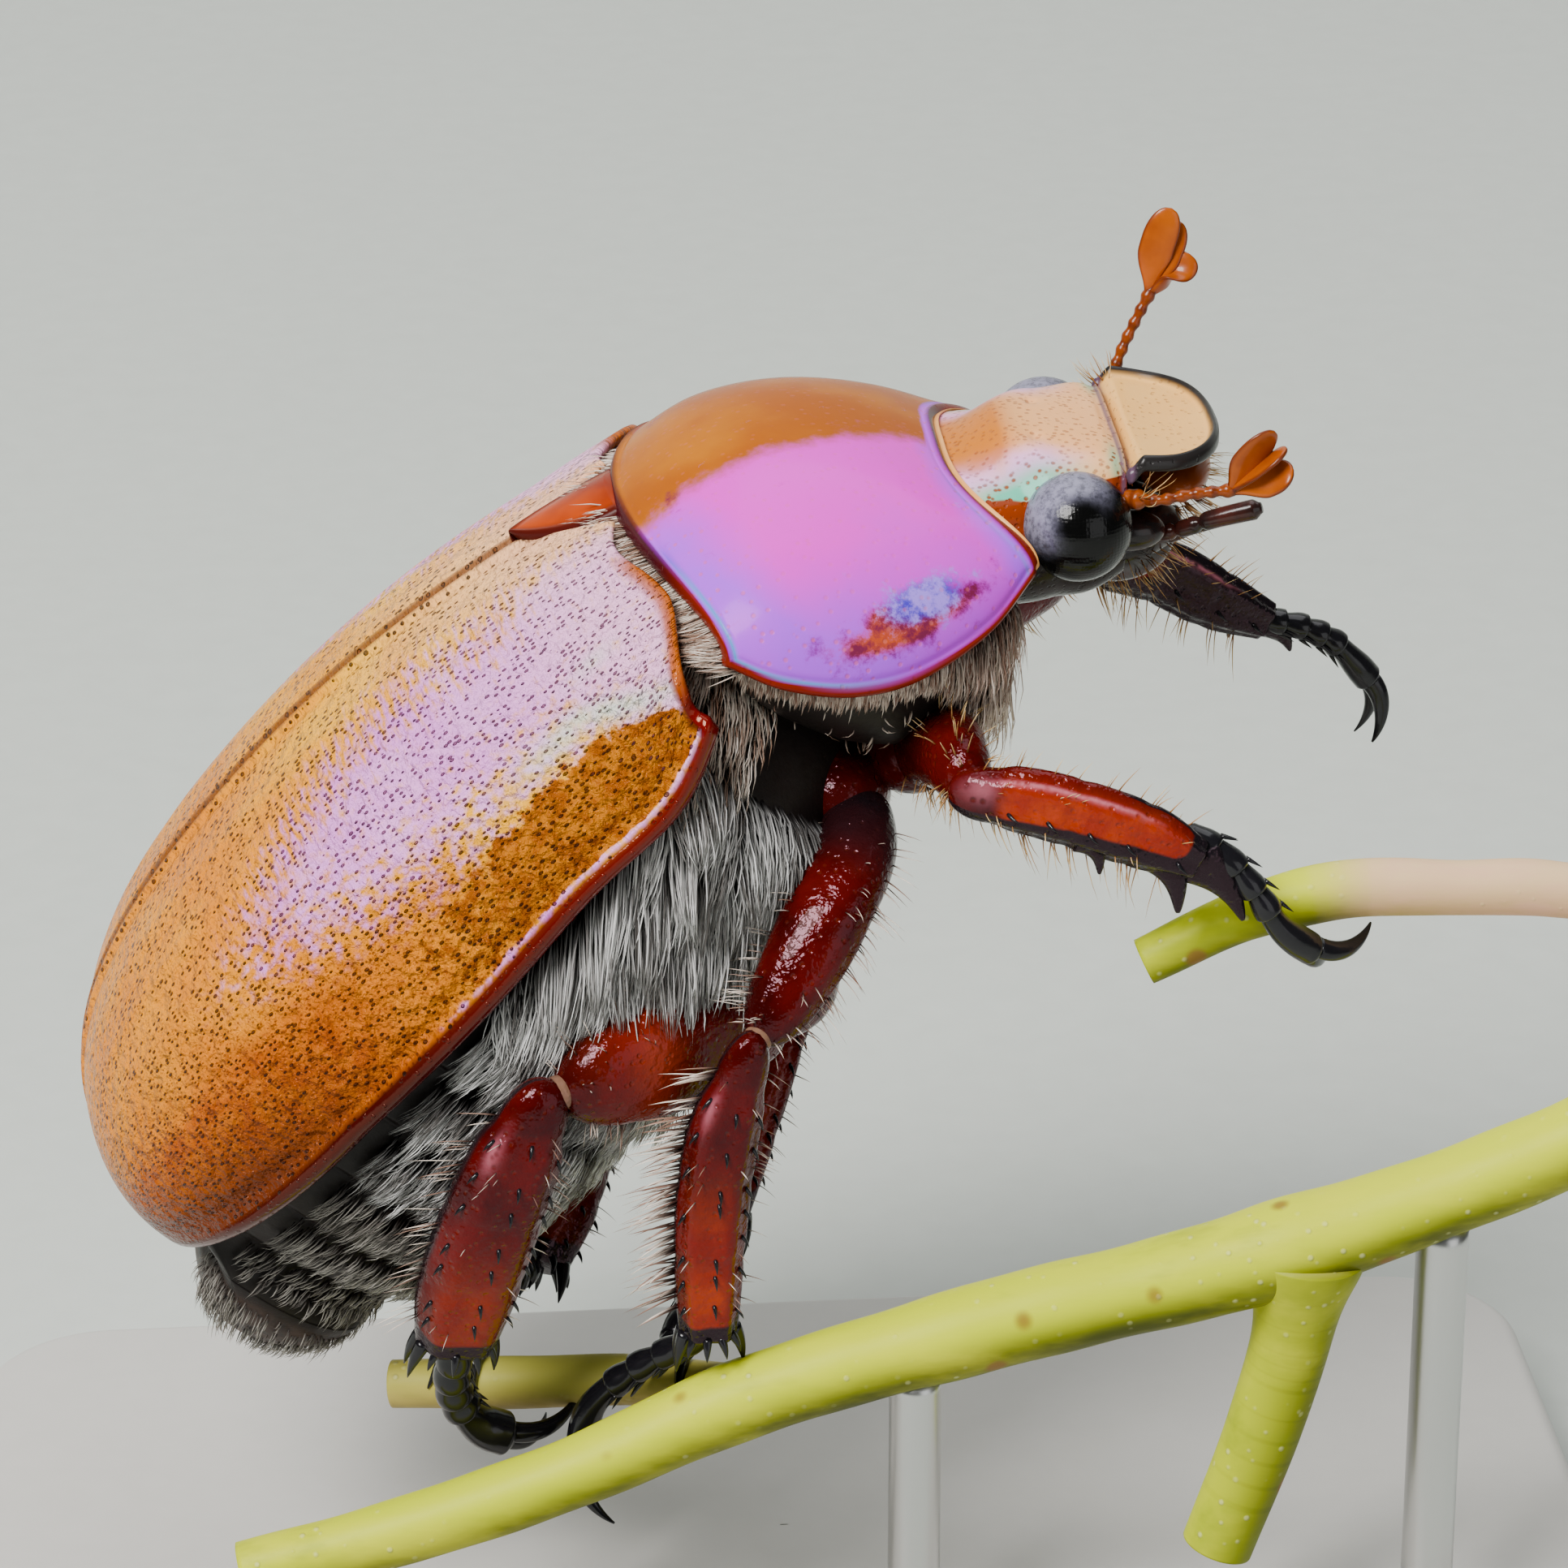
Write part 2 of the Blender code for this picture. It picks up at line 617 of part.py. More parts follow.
def shield_ring(values, angle, inset):
    """Points round the front body: the shield's dome above the side edges, the breast below."""
    xm, zm, xe, ye, ze, xb, zb = values
    c, s = rounded(angle, SHIELD_FULLNESS)
    over = s >= 0
    x = np.where(over, xm + (xe - xm) * c**2, xb + (xe - xb) * c**2)
    z = np.where(over, ze + (zm - ze - inset) * s, ze + (ze - zb - min(inset, 0)) * s)
    return np.stack([x, (ye - inset) * c, z], 1)


def front_body_rings(inset, count, sides, first=0.0, last=1.0, push=0.0):
    """Rings of the whole front body, its dome inset from the shield's outer face."""
    angle = np.linspace(0, 2 * math.pi, sides, endpoint=False)
    rings = [shield_ring(v, angle, inset) for v in shield_values(count, first, last)]
    if push:
        ends = [shield_ring(v, angle, SHIELD_WALL + GAP) for v in shield_values(2, first, last)]
        rings = [ends[0]] + rings + [ends[1]]
        for k in (0, 1):
            rings[k] = rings[k] + [push, 0, 0]
            rings[-1 - k] = rings[-1 - k] - [push, 0, 0]
    return np.array(rings)


def shield():
    """The shield over the front body, a curved shell."""
    angle = np.linspace(0, math.pi, 19)
    grids = []
    for inset in (0.0, SHIELD_WALL):
        grids.append(np.array([shield_ring(v, angle, inset) for v in shield_values(10)]))
    return node("pronotum", [shell("pronotum", grids[0], grids[1], "shield")], kind="shield")


def grown_shield():
    """The space that other pieces keep clear of: the whole front body and a gap round it."""
    return loft("cutter", front_body_rings(-GAP, 10, 28, push=GAP))


def head_raw(grow=0.0):
    return loft("head", body_rings(HEAD, 11, 24, 2.7, grow), "shield")


def face_rings(grow=0.0):
    """The face plate: a rounded plate with a raised rim, in upright slices across the beetle."""
    rings = []
    angle = np.linspace(0, 2 * math.pi, 16, endpoint=False)
    c, s = rounded(angle, 3.2)
    for k, share in enumerate((0, 0.3, 0.6, 0.82, 0.94, 0.985)):
        x = FACE_BASE + (FACE_TIP - FACE_BASE) * share
        half = FACE_HALF_WIDTH * (1 - share**3) ** (1 / 3)
        thick = 0.28 * (1 - 0.2 * share**4)
        end = -grow if k == 0 else grow if k == 5 else 0.0
        y = (half + grow) * c
        z = 28.22 + 0.08 * (y / FACE_HALF_WIDTH) ** 2 + (thick + grow) * s
        rings.append(np.stack([np.full(16, x + end), y, z], 1))
    return np.array(rings)


def antenna(side, stations, blades):
    """A feeler: a jointed stalk and the three leaves of its club, fused."""
    turn = np.array([1, side, 1])
    path = smooth(np.array(stations) * turn, 8)
    width = 0.27 + 0.05 * np.cos(np.linspace(0, 5 * math.pi, 8))
    width[0] = 0.40
    pieces = [loft("stalk", tube_rings(path, np.stack([width, width], 1), (0, 0, 1), 6))]
    for tip, spread in blades:
        tip = np.array(tip) * turn
        base = path[-2]
        s = np.linspace(0, 1, 5)
        line = base + (tip - base) * s[:, None]
        wide = np.array([0.22, 0.40, 0.47, 0.44, 0.24]) * spread
        thin = np.array([0.25, 0.26, 0.26, 0.26, 0.25])
        pieces.append(loft("leaf", tube_rings(line, np.stack([wide, thin], 1), (0.75, 0, 0.66), 6)))
    return pieces


def head_parts():
    """Head, eyes, face plate, mouth, palps and feelers."""
    node("head", [head_raw()], [grown_shield()], "shield")
    for side in (1, -1):
        tag = "left" if side > 0 else "right"
        centre = np.array(EYE_CENTRE) * [1, side, 1]
        eye = ellipsoid("eye", centre, (EYE_RADIUS, EYE_RADIUS, EYE_RADIUS))
        node("eye_" + tag, [eye], [head_raw(GAP), grown_shield()], "eye")
        stations = FEELER_LEFT if side > 0 else FEELER_RIGHT
        blades = FEELER_LEAVES_LEFT if side > 0 else FEELER_LEAVES_RIGHT
        feeler = antenna(side, stations, blades)
        node("antenna_" + tag, feeler, [head_raw(GAP), loft("cutter", face_rings(GAP))], "club")
    node("clypeus", [loft("clypeus", face_rings(), "shield")], [head_raw(GAP)], "shield")
    lip = ellipsoid("labrum", (7.95, 0, 27.35), (0.72, 1.7, 0.62), 0, 12, 8)
    node("labrum", [lip], [loft("cutter", face_rings(GAP))], "club")
    mouth = [
        ellipsoid("mouth", (6.75, 0, 26.1), (1.35, 1.75, 0.95), 0, 12, 7),
        ellipsoid("jaw", (7.25, 0.95, 26.5), (0.85, 0.75, 0.6), 0, 10, 6),
        ellipsoid("jaw", (7.25, -0.95, 26.5), (0.85, 0.75, 0.6), 0, 10, 6),
    ]
    clear = [head_raw(GAP), loft("cutter", face_rings(GAP))]
    clear.append(ellipsoid("cutter", (7.95, 0, 27.35), (0.72, 1.7, 0.62), GAP))
    clear += [ellipsoid("cutter", np.array(EYE_CENTRE) * [1, k, 1], [EYE_RADIUS] * 3, GAP) for k in (1, -1)]
    node("mouthparts", mouth, clear, "foot")
    for side in (1, -1):
        path = smooth(np.array(PALPS[side]), 6)
        width = np.array([0.28, 0.27, 0.26, 0.28, 0.28, 0.2])
        palp = loft("palp", tube_rings(path, np.stack([width, width], 1), (0, 0, 1), 7))
        clear = [ellipsoid("cutter", (7.25, side * 0.95, 26.5), (0.85, 0.75, 0.6), GAP)]
        clear.append(ellipsoid("cutter", (6.75, 0, 26.1), (1.35, 1.75, 0.95), GAP))
        node("palp_left" if side > 0 else "palp_right", [palp], clear, "foot")


def scutellum():
    """The small three-cornered plate between the wing cases, behind the shield."""
    rows = []
    for back, half in ((-1.6, 1.05), (-0.9, 1.08), (-0.3, 0.92), (0.3, 0.62), (0.85, 0.25)):
        top = 3.20 + 0.42 * back
        angle = np.linspace(0, 2 * math.pi, 10, endpoint=False)
        rows.append(on_body(np.full(10, back), half * np.cos(angle), top + 0.32 * np.sin(angle)))
    return node("scutellum", [loft("scutellum", rows, "shield")], [grown_shield()], "shield")


def trunk_cutter(grow):
    return loft("cutter", trunk_rings(-0.9, 18.6, 14, 20, grow))


def lock(root, lie, away, length, half_width):
    """One flat, tapered, bent lock of coat from a root on the skin."""
    root, lie, away = (np.asarray(v, float) for v in (root, lie, away))
    s = np.linspace(0, 1, 4)[:, None]
    path = root - away * SUNK + lie * length * s + away * (SUNK + 0.55) * np.sin(s * 2.2)
    width = half_width * np.array([1.0, 0.95, 0.72, 0.24])
    thick = np.array([0.34, 0.32, 0.28, 0.17])
    return loft("lock", tube_rings(path, np.stack([width, thick], 1), np.cross(lie, away), 4), "coat")


def trunk_place(back, turn):
    """A point on the trunk and its outward direction. The turn is -90 at the belly's middle."""
    rows = np.array(trunk_stations())
    half, middle, up, down = (np.interp(back, rows[:, 0], rows[:, k]) for k in range(1, 5))
    a = math.radians(turn)
    c, s = rounded(np.array([a]), CASE_FULLNESS)
    tall = up if s[0] > 0 else down
    point = on_body(np.array([back]), half * c, middle + tall * s)[0]
    _, dorsal = axes_of(BODY_PITCH)
    out = unit(np.array([0, 1.0, 0]) * math.cos(a) / half + dorsal * math.sin(a) / tall)
    return point, out


def coat(rows):
    """Locks on both sides of the trunk. A row is distance back, first and last turn, how many, and length."""
    rng = np.random.default_rng(SEED)
    pieces = []
    for back, first, last, many, length in rows:
        for turn in np.linspace(first, last, many):
            for side in (1, -1):
                point, out = trunk_place(back + rng.uniform(-0.2, 0.2), turn + rng.uniform(-2, 2))
                fall = np.array([-0.25, 0, -1.0])
                lie = unit(fall - np.dot(fall, out) * out * 0.82)
                keep = np.array([1, side, 1])
                size = length * rng.uniform(0.85, 1.1)
                pieces.append(lock(point * keep, lie * keep, out * keep, size, 0.6 * rng.uniform(0.85, 1.1)))
    return pieces


def trunk_parts():
    """The front body under the shield, the hairy thorax, the grooved abdomen and the tail plate."""
    breast = loft("prosternum", front_body_rings(SHIELD_WALL + GAP, 9, 24, 0.13, 0.9), "coat")
    node("prosternum", [breast], (), "coat")
    chest = [loft("thorax", trunk_rings(-0.9, WAIST - GAP, 8, 20), "coat")] + coat(CHEST_COAT)
    node("thorax", chest, [grown_shield()] + leg_cutters() + case_cutters(), "coat")
    plates = loft("abdomen", trunk_rings(WAIST, TAIL_PLATE - GAP, 13, 20, grooves=True), "coat")
    chest_space = loft("cutter", trunk_rings(-0.9, WAIST, 9, 24, 0.01))
    belly_space = [chest_space] + leg_cutters() + case_cutters()
    node("abdomen", [plates] + coat(BELLY_COAT), belly_space, "coat")
    tail = [loft("pygidium", trunk_rings(TAIL_PLATE, 18.6, 5, 20), "coat")]
    tail.append(spike(on_body(18.2, 0, -2.4), on_body(19.2, 0, -3.1), 0.42))
    node("pygidium", tail, case_cutters(), "coat")


def leg_line(name, piece, count):
    """Middle line, half widths and half thicknesses of a leg's thigh or shin."""
    where = 1 if piece == "thigh" else 2
    stations = np.hstack([np.array(LEGS[name][where]), np.array(LEG_SIZES[name.split("_")[0]][where - 1])])
    return smooth(stations, count)


def leg_raw(name, piece, grow=0.0):
    """A leg's hip, thigh or shin before anything is cut away from it."""
    pair = name.split("_")[0]
    if piece == "hip":
        return ellipsoid("hip", LEGS[name][0], HIP_RADII[pair], grow, 12, 8)
    thigh = piece == "thigh"
    broad = HIND_THIGH_BROAD if thigh and pair == "hind" else BROAD[pair]
    line = leg_line(name, piece, 8 if thigh else 9)
    return loft(piece, tube_rings(line[:, :3], line[:, 3:], broad, 12 if thigh else 10, grow))


def leg_cutters(pieces=("hip", "thigh", "shin")):
    """The space round every leg that the body's coat keeps clear of."""
    return [leg_raw(name, piece, GAP) for name in LEGS for piece in pieces]


def front_teeth(side, pad=0.0):
    """The three outer teeth of a front shin."""
    return [spike(root, tip, 0.42, (0.12, 0, 0.05), pad=pad) for root, tip in FRONT_TEETH[side]]


def limb(name):
    """One leg: hip, thigh, shin and foot with its two claws, each cut clear of the piece it hangs on."""
    pair, side = name.split("_")
    toe_start, toe_end, claw = LEG_SIZES[pair][2]

    def body_cutters():
        ahead = {"front": (), "middle": ("front",), "hind": ("front", "middle")}[pair]
        earlier = [leg_raw(f"{other}_{side}", piece, GAP) for other in ahead for piece in ("hip", "thigh")]
        return [grown_shield(), trunk_cutter(GAP)] + earlier

    node("coxa_" + name, [leg_raw(name, "hip")], body_cutters(), "leg")
    node("femur_" + name, [leg_raw(name, "thigh")], [leg_raw(name, "hip", GAP)] + body_cutters(), "leg")

    shin = [leg_raw(name, "shin")]
    if pair == "front":
        shin += front_teeth(side)
    else:
        line = leg_line(name, "shin", 9)
        along = unit(line[-1, :3] - line[-3, :3])
        wide = unit(np.asarray(BROAD[pair], float) - np.dot(BROAD[pair], along) * along)
        for k in (1, -1):
            start = line[-2, :3] + wide * line[-1, 3] * 0.6 * k
            shin.append(spike(start, start + along * 0.95 + wide * 0.35 * k, 0.28, sides=5))
    node("tibia_" + name, shin, [leg_raw(name, "thigh", GAP)], "leg")

    count = 12
    path = smooth(np.array(LEGS[name][3]), count)
    beads = 0.5 + 0.5 * np.cos(np.linspace(0, 8 * math.pi, count))
    width = np.linspace(toe_start, toe_end, count) * (1 - 0.16 * beads)
    width[-4:] = toe_end * np.array([0.9, 0.98, 1.0, 0.9])
    foot = [loft("foot", tube_rings(path, np.stack([width, width * 0.9], 1), (0, 1, 0.2), 6), "foot")]
    ahead = unit(path[-1] - path[-3])
    across = unit(np.cross(ahead, CLAW_CURL[name]))
    curl = unit(np.asarray(CLAW_CURL[name], float) - np.dot(CLAW_CURL[name], ahead) * ahead)
    for k in (1, -1):
        start = path[-2] + across * 0.16 * k
        tip = start + ahead * claw * 0.8 + curl * claw * 0.72 + across * 0.34 * k
        foot.append(spike(start, tip, 0.30, ahead * 0.22 - curl * 0.22, sides=5, steps=3))
    clear = [leg_raw(name, "shin", GAP)] + (front_teeth(side, GAP) if pair == "front" else [])
    clear += [stalk(line, GAP) for line in (STEM, REAR_TWIG, FRONT_TWIG)]
    node("tarsus_" + name, foot, clear, "foot")


def stalk(stations, grow=0.0):
    """One stalk of the perch, slightly lumpy, with cut ends."""
    line = smooth(np.array(stations), 2 * len(stations) + 1)
    lumps = 1 + 0.03 * np.sin(np.arange(len(line)) * 1.9)
    radii = np.stack([line[:, 3] * lumps, line[:, 3] * lumps], 1)
    return loft("stalk", tube_rings(line[:, :3], radii, (0, 1, 0.1), 12, grow), "twig")


def perch_parts():
    """The climbing stem, its three side stalks, and the plain stand under it."""
    node("perch_stem", [stalk(STEM)], (), "twig")
    node("perch_side_shoot", [stalk(SIDE_SHOOT)], [stalk(STEM, GAP)], "twig")
    node("perch_front_twig", [stalk(FRONT_TWIG)], [stalk(STEM, GAP)], "twig")
    node("perch_rear_twig", [stalk(REAR_TWIG)], [stalk(STEM, GAP)], "twig")
    corner = np.linspace(0, math.pi / 2, 6)
    rings = []
    top = STAND_THICKNESS
    for z, inset in ((0.0, 0.0), (top - 0.4, 0.0), (top - 0.12, 0.12), (top, 0.4)):
        ring = []
        for quarter in range(4):
            a = corner + quarter * math.pi / 2
            r = STAND_CORNER - inset
            cx = (STAND_LENGTH / 2 - STAND_CORNER) * (1 if quarter in (0, 3) else -1)
            cy = (STAND_WIDTH / 2 - STAND_CORNER) * (1 if quarter < 2 else -1)
            ring += [(cx + r * math.cos(t), cy + r * math.sin(t), z) for t in a]
        rings.append(ring)
    node("stand_base", [loft("base", rings, "stand")], (), "stand")
    for name, x in zip(("stand_rod_rear", "stand_rod_front"), ROD_STATIONS):
        line = smooth(np.array(STEM), 200)
        k = int(np.argmin(np.abs(line[:, 0] - x)))
        path = [(x, line[k, 1], z) for z in np.linspace(STAND_THICKNESS + GAP, line[k, 2], 4)]
        rod = loft("rod", tube_rings(path, [(ROD_RADIUS, ROD_RADIUS)] * 4, (0, 1, 0), 16), "rod")
        node(name, [rod], [stalk(STEM, GAP)], "rod")


def main():
    for old in list(bpy.data.objects):
        bpy.data.objects.remove(old)
    perch_parts()
    shield()
    trunk_parts()
    scutellum()
    for side in (1, -1):
        wing_case(side)
    head_parts()
    for name in LEGS:
        limb(name)


main()
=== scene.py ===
"""A christmas beetle climbing a forked twig, as a life-size display model on a plain stand.

The beetle faces +X, its left side is +Y and up is +Z. Shapes are worked out in millimetres and
written in metres. Every random choice is seeded.
"""

import math

import bpy
import numpy as np
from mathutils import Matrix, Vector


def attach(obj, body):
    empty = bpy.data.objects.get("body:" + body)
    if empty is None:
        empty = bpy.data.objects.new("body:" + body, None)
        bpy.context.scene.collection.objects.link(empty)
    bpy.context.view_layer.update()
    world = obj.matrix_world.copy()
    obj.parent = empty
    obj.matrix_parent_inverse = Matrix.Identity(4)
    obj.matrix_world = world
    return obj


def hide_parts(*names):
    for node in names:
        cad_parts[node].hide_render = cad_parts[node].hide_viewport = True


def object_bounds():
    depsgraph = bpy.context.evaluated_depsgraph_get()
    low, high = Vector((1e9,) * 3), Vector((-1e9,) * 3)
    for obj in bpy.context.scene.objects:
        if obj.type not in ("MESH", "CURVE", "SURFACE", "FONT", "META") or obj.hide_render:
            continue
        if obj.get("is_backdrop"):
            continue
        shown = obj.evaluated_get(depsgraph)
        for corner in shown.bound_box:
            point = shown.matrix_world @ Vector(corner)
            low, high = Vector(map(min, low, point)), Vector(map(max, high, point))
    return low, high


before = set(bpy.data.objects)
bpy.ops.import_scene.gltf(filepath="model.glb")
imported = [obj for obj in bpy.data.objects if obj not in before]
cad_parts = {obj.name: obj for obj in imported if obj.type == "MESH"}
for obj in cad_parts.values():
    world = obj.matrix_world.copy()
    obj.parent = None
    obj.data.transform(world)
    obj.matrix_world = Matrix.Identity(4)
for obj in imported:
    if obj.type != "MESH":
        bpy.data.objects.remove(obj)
cad_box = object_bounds()


# ---- floor, camera and light -----------------------------------------------------------------
# The model stands on pale paper that sweeps up behind it, in soft daylight. The camera looks at
# the beetle from its right and from above.


class Value:
    """A node's output. Its sums, differences and products are Math nodes."""

    def __init__(self, paint, socket):
        self.paint, self.socket = paint, socket

    def __add__(self, other):
        return self.paint.math("ADD", self, other)

    def __sub__(self, other):
        return self.paint.math("SUBTRACT", self, other)

    def __rsub__(self, other):
        return self.paint.math("SUBTRACT", other, self)

    def __mul__(self, other):
        return self.paint.math("MULTIPLY", self, other)

    def step(self, low, high, bottom=0.0, top=1.0):
        """A smooth step from bottom where the value is low to top where it is high."""
        values = {0: self, 1: low, 2: high, 3: bottom, 4: top}
        return self.paint.add("ShaderNodeMapRange", values, interpolation_type="SMOOTHSTEP")

    def between(self, first, second):
        """The colour first where the value is 0, and second where it is 1."""
        return self.paint.add("ShaderNodeMix", {0: self, 6: first, 7: second}, 2, data_type="RGBA")


class Paint:
    """A material, or a node group with named inputs that puts out a colour, and short ways to add nodes."""

    def __init__(self, name, inputs=None):
        if inputs is None:
            self.material = bpy.data.materials.new(name)
            self.material.use_nodes = True
            self.tree = self.material.node_tree
            self.place = self.add("ShaderNodeTexCoord", {}, "Object")
        else:
            self.tree = bpy.data.node_groups.new(name, "ShaderNodeTree")
            for label, kind in inputs.items():
                self.tree.interface.new_socket(label, in_out="INPUT", socket_type="NodeSocket" + kind)
            self.tree.interface.new_socket("Colour", in_out="OUTPUT", socket_type="NodeSocketColor")
            entry = self.tree.nodes.new("NodeGroupInput")
            self.inputs = [Value(self, entry.outputs[label]) for label in inputs]

    def set(self, socket, value):
        """Links a value to a socket, or gives the socket a constant."""
        if isinstance(value, Value):
            self.tree.links.new(value.socket, socket)
        elif socket.type == "RGBA":
            socket.default_value = (*value, 1)
        else:
            socket.default_value = value

    def add(self, kind, inputs, output=0, **settings):
        """Adds a node and gives back one of its outputs."""
        made = self.tree.nodes.new(kind)
        for key, value in settings.items():
            setattr(made, key, value)
        for key, value in inputs.items():
            self.set(made.inputs[key], value)
        return Value(self, made.outputs[output])

    def math(self, operation, a, b):
        """One sum, difference or product of two values."""
        return self.add("ShaderNodeMath", {0: a, 1: b}, operation=operation)

    def field(self, name):
        """A number that the mesh stores on each of its points."""
        return self.add("ShaderNodeAttribute", {}, "Fac", attribute_name=name)

    def fields(self, names):
        """Several fields, from their names in one string."""
        return [self.field(name) for name in names.split()]

    def stretch(self, vector, scale):
        """A place multiplied by a scale along each axis."""
        return self.add("ShaderNodeMapping", {0: vector, 3: scale})

    def noise(self, scale, detail=3.0, rough=0.55, vector=None):
        """Cloudy noise, with about scale clouds to each unit of its place."""
        values = {"Vector": vector or self.place, "Scale": scale, "Detail": detail, "Roughness": rough}
        return self.add("ShaderNodeTexNoise", values)

    def cells(self, scale, random=1.0, vector=None):
        """Distance from the nearest of many scattered points."""
        values = {"Vector": vector or self.place, "Scale": scale, "Randomness": random}
        return self.add("ShaderNodeTexVoronoi", values)

    def bump(self, height, distance, strength=1.0):
        """A normal tilted by the slope of a height, which counts for distance in metres."""
        return self.add("ShaderNodeBump", {"Height": height, "Distance": distance, "Strength": strength})

    def finish(self, **values):
        """Gives the surface shader its values, and gives back the material."""
        for key, value in values.items():
            self.set(self.tree.nodes["Principled BSDF"].inputs[key.replace("_", " ")], value)
        return self.material


def grid_quads(rows, columns, first=0, around=False):
    """Quads of a grid of points stored row by row; around closes each row on itself."""
    i, j = np.meshgrid(np.arange(rows - 1), np.arange(columns if around else columns - 1), indexing="ij")
    k = (j + 1) % columns
    quads = np.stack([i * columns + j, i * columns + k, (i + 1) * columns + k, (i + 1) * columns + j], -1)
    return quads.reshape(-1, 4) + first


def build(name, points, quads, material, maps=None, fields=None, triangles=()):
    """A smooth-shaded piece from millimetre points, with UV maps and named fields on its points."""
    points = np.asarray(points, float).reshape(-1, 3) * 0.001
    quads = np.asarray(quads, np.int32).reshape(-1, 4)
    triangles = np.asarray(triangles, np.int32).reshape(-1, 3)
    corners = np.concatenate([quads.ravel(), triangles.ravel()])
    starts = np.concatenate([np.arange(len(quads)) * 4, len(quads) * 4 + np.arange(len(triangles)) * 3])
    mesh = bpy.data.meshes.new(name)
    mesh.vertices.add(len(points))
    mesh.vertices.foreach_set("co", points.ravel())
    mesh.loops.add(len(corners))
    mesh.loops.foreach_set("vertex_index", corners)
    mesh.polygons.add(len(starts))
    mesh.polygons.foreach_set("loop_start", starts)
    mesh.update(calc_edges=True)
    mesh.validate()
    mesh.shade_smooth()
    for key, places in (maps or {}).items():
        layer = mesh.uv_layers.new(name=key)
        layer.data.foreach_set("uv", np.asarray(places, float).reshape(-1, 2)[corners].ravel())
    for key, values in (fields or {}).items():
        layer = mesh.attributes.new(key, "FLOAT", "POINT")
        layer.data.foreach_set("value", np.asarray(values, float).ravel())
    mesh.materials.append(material)
    piece = bpy.data.objects.new(name, mesh)
    bpy.context.scene.collection.objects.link(piece)
    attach(piece, "root")
    return piece


SENSOR, VIEW_WIDTH = 36, 0.03297
turn, rise, distance = math.radians(-5), math.radians(24), 0.130
target = np.array([0, 0, 0.0205])
towards = np.array([math.sin(turn) * math.cos(rise), -math.cos(turn) * math.cos(rise), math.sin(rise)])
camera = bpy.data.objects.new("Camera", bpy.data.cameras.new("Camera"))
bpy.context.scene.collection.objects.link(camera)
camera.location = target + towards * distance
camera.rotation_euler = (math.pi / 2 - rise, 0, turn)
camera.data.sensor_width = SENSOR
camera.data.lens = SENSOR * distance / VIEW_WIDTH
camera.data.clip_start = 0.005
bpy.context.scene.camera = camera

paint = Paint("floor paper")
grain = paint.noise(900, 4)
floor_material = paint.finish(
    Base_Color=grain.between((0.50, 0.53, 0.49), (0.56, 0.59, 0.55)),
    Roughness=0.75,
    Normal=paint.bump(grain, 0.00005, 0.3),
)
# The paper lies flat, then bends up along a quarter of an ellipse into a straight wall.
WALL_START, BEND_HEIGHT, BEND_DEPTH, BEND_END = 160, 120, 60, 188
across, depth = np.linspace(-600, 600, 3), np.linspace(-400, 500, 60)
wall = np.maximum(depth - WALL_START, 0)
bend = np.minimum(wall / BEND_HEIGHT, math.pi / 2)
back = np.minimum(depth, WALL_START) + BEND_DEPTH * np.sin(bend)
high = BEND_HEIGHT * (1 - np.cos(bend)) + np.maximum(wall - BEND_END, 0) * 2
sweep = np.stack(np.broadcast_arrays(across[None, :], back[:, None], high[:, None]), -1)
floor = build("floor", sweep, grid_quads(60, 3), floor_material)
floor.parent = None
floor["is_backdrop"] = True

# A big panel over the camera's left shoulder, a wide one above, a fill by the camera and one from
# behind.
for name, place, size, power, colour in (
    ("key", (-0.16, -0.16, 0.28), 0.15, 2.3, (1.0, 0.98, 0.96)),
    ("top", (0.03, 0.10, 0.30), 0.25, 0.50, (0.96, 0.97, 1.0)),
    ("fill", (0.22, -0.30, 0.12), 0.25, 0.27, (0.98, 0.99, 1.0)),
    ("back", (0.05, 0.30, 0.16), 0.20, 0.35, (1.0, 0.99, 0.97)),
):
    data = bpy.data.lights.new(name, "AREA")
    data.energy, data.size, data.color = power, size, colour
    light = bpy.data.objects.new(name, data)
    bpy.context.scene.collection.objects.link(light)
    light.location = place
    aim = np.array([0, 0, 0.02]) - np.array(place)
    lean = math.acos(-aim[2] / np.linalg.norm(aim))
    light.rotation_euler = (lean, 0, math.atan2(aim[1], aim[0]) - math.pi / 2)
world = bpy.data.worlds.new("studio")
world.use_nodes = True
world.node_tree.nodes["Background"].inputs[0].default_value = (0.82, 0.88, 0.84, 1)
world.node_tree.nodes["Background"].inputs[1].default_value = 0.095
bpy.context.scene.world = world


# ---- wing cases ------------------------------------------------------------------------------
# Two glossy amber shells of hard skin, hinged at the shoulders, with a pearly lilac band, rows of
# small dark pits, a deep-red raised edge and a dark line where they meet. They follow a dome.

RIGHT, LEFT = -1, 1
SIDES = ((RIGHT, "right"), (LEFT, "left"))
CASE_LENGTH, CASE_HALF_WIDTH, CASE_HEIGHT = 17.35, 7.05, 5.0
CASE_WALL, HALF_SEAM = 0.40, 0.04
SHOULDER = np.array([-2.12, 0, 24.70])
tilt = math.radians(50.5)
body_forward = np.array([math.cos(tilt), 0, math.sin(tilt)])
body_up = np.array([-math.sin(tilt), 0, math.cos(tilt)])


def unit(v):
    """Each vector divided by its own length."""
    v = np.asarray(v, float)
    return v / np.maximum(np.linalg.norm(v, axis=-1, keepdims=True), 1e-9)


def ramp(x, low, high):
    """0 below low, 1 above high and a smooth step between them. low may be the larger."""
    t = np.clip((np.asarray(x, float) - low) / (high - low), 0, 1)
    return t * t * (3 - 2 * t)


def bell(x, middle, width):
    """exp(-((x - middle) / width)^2)"""
    return np.exp(-(((np.asarray(x, float) - middle) / width) ** 2))


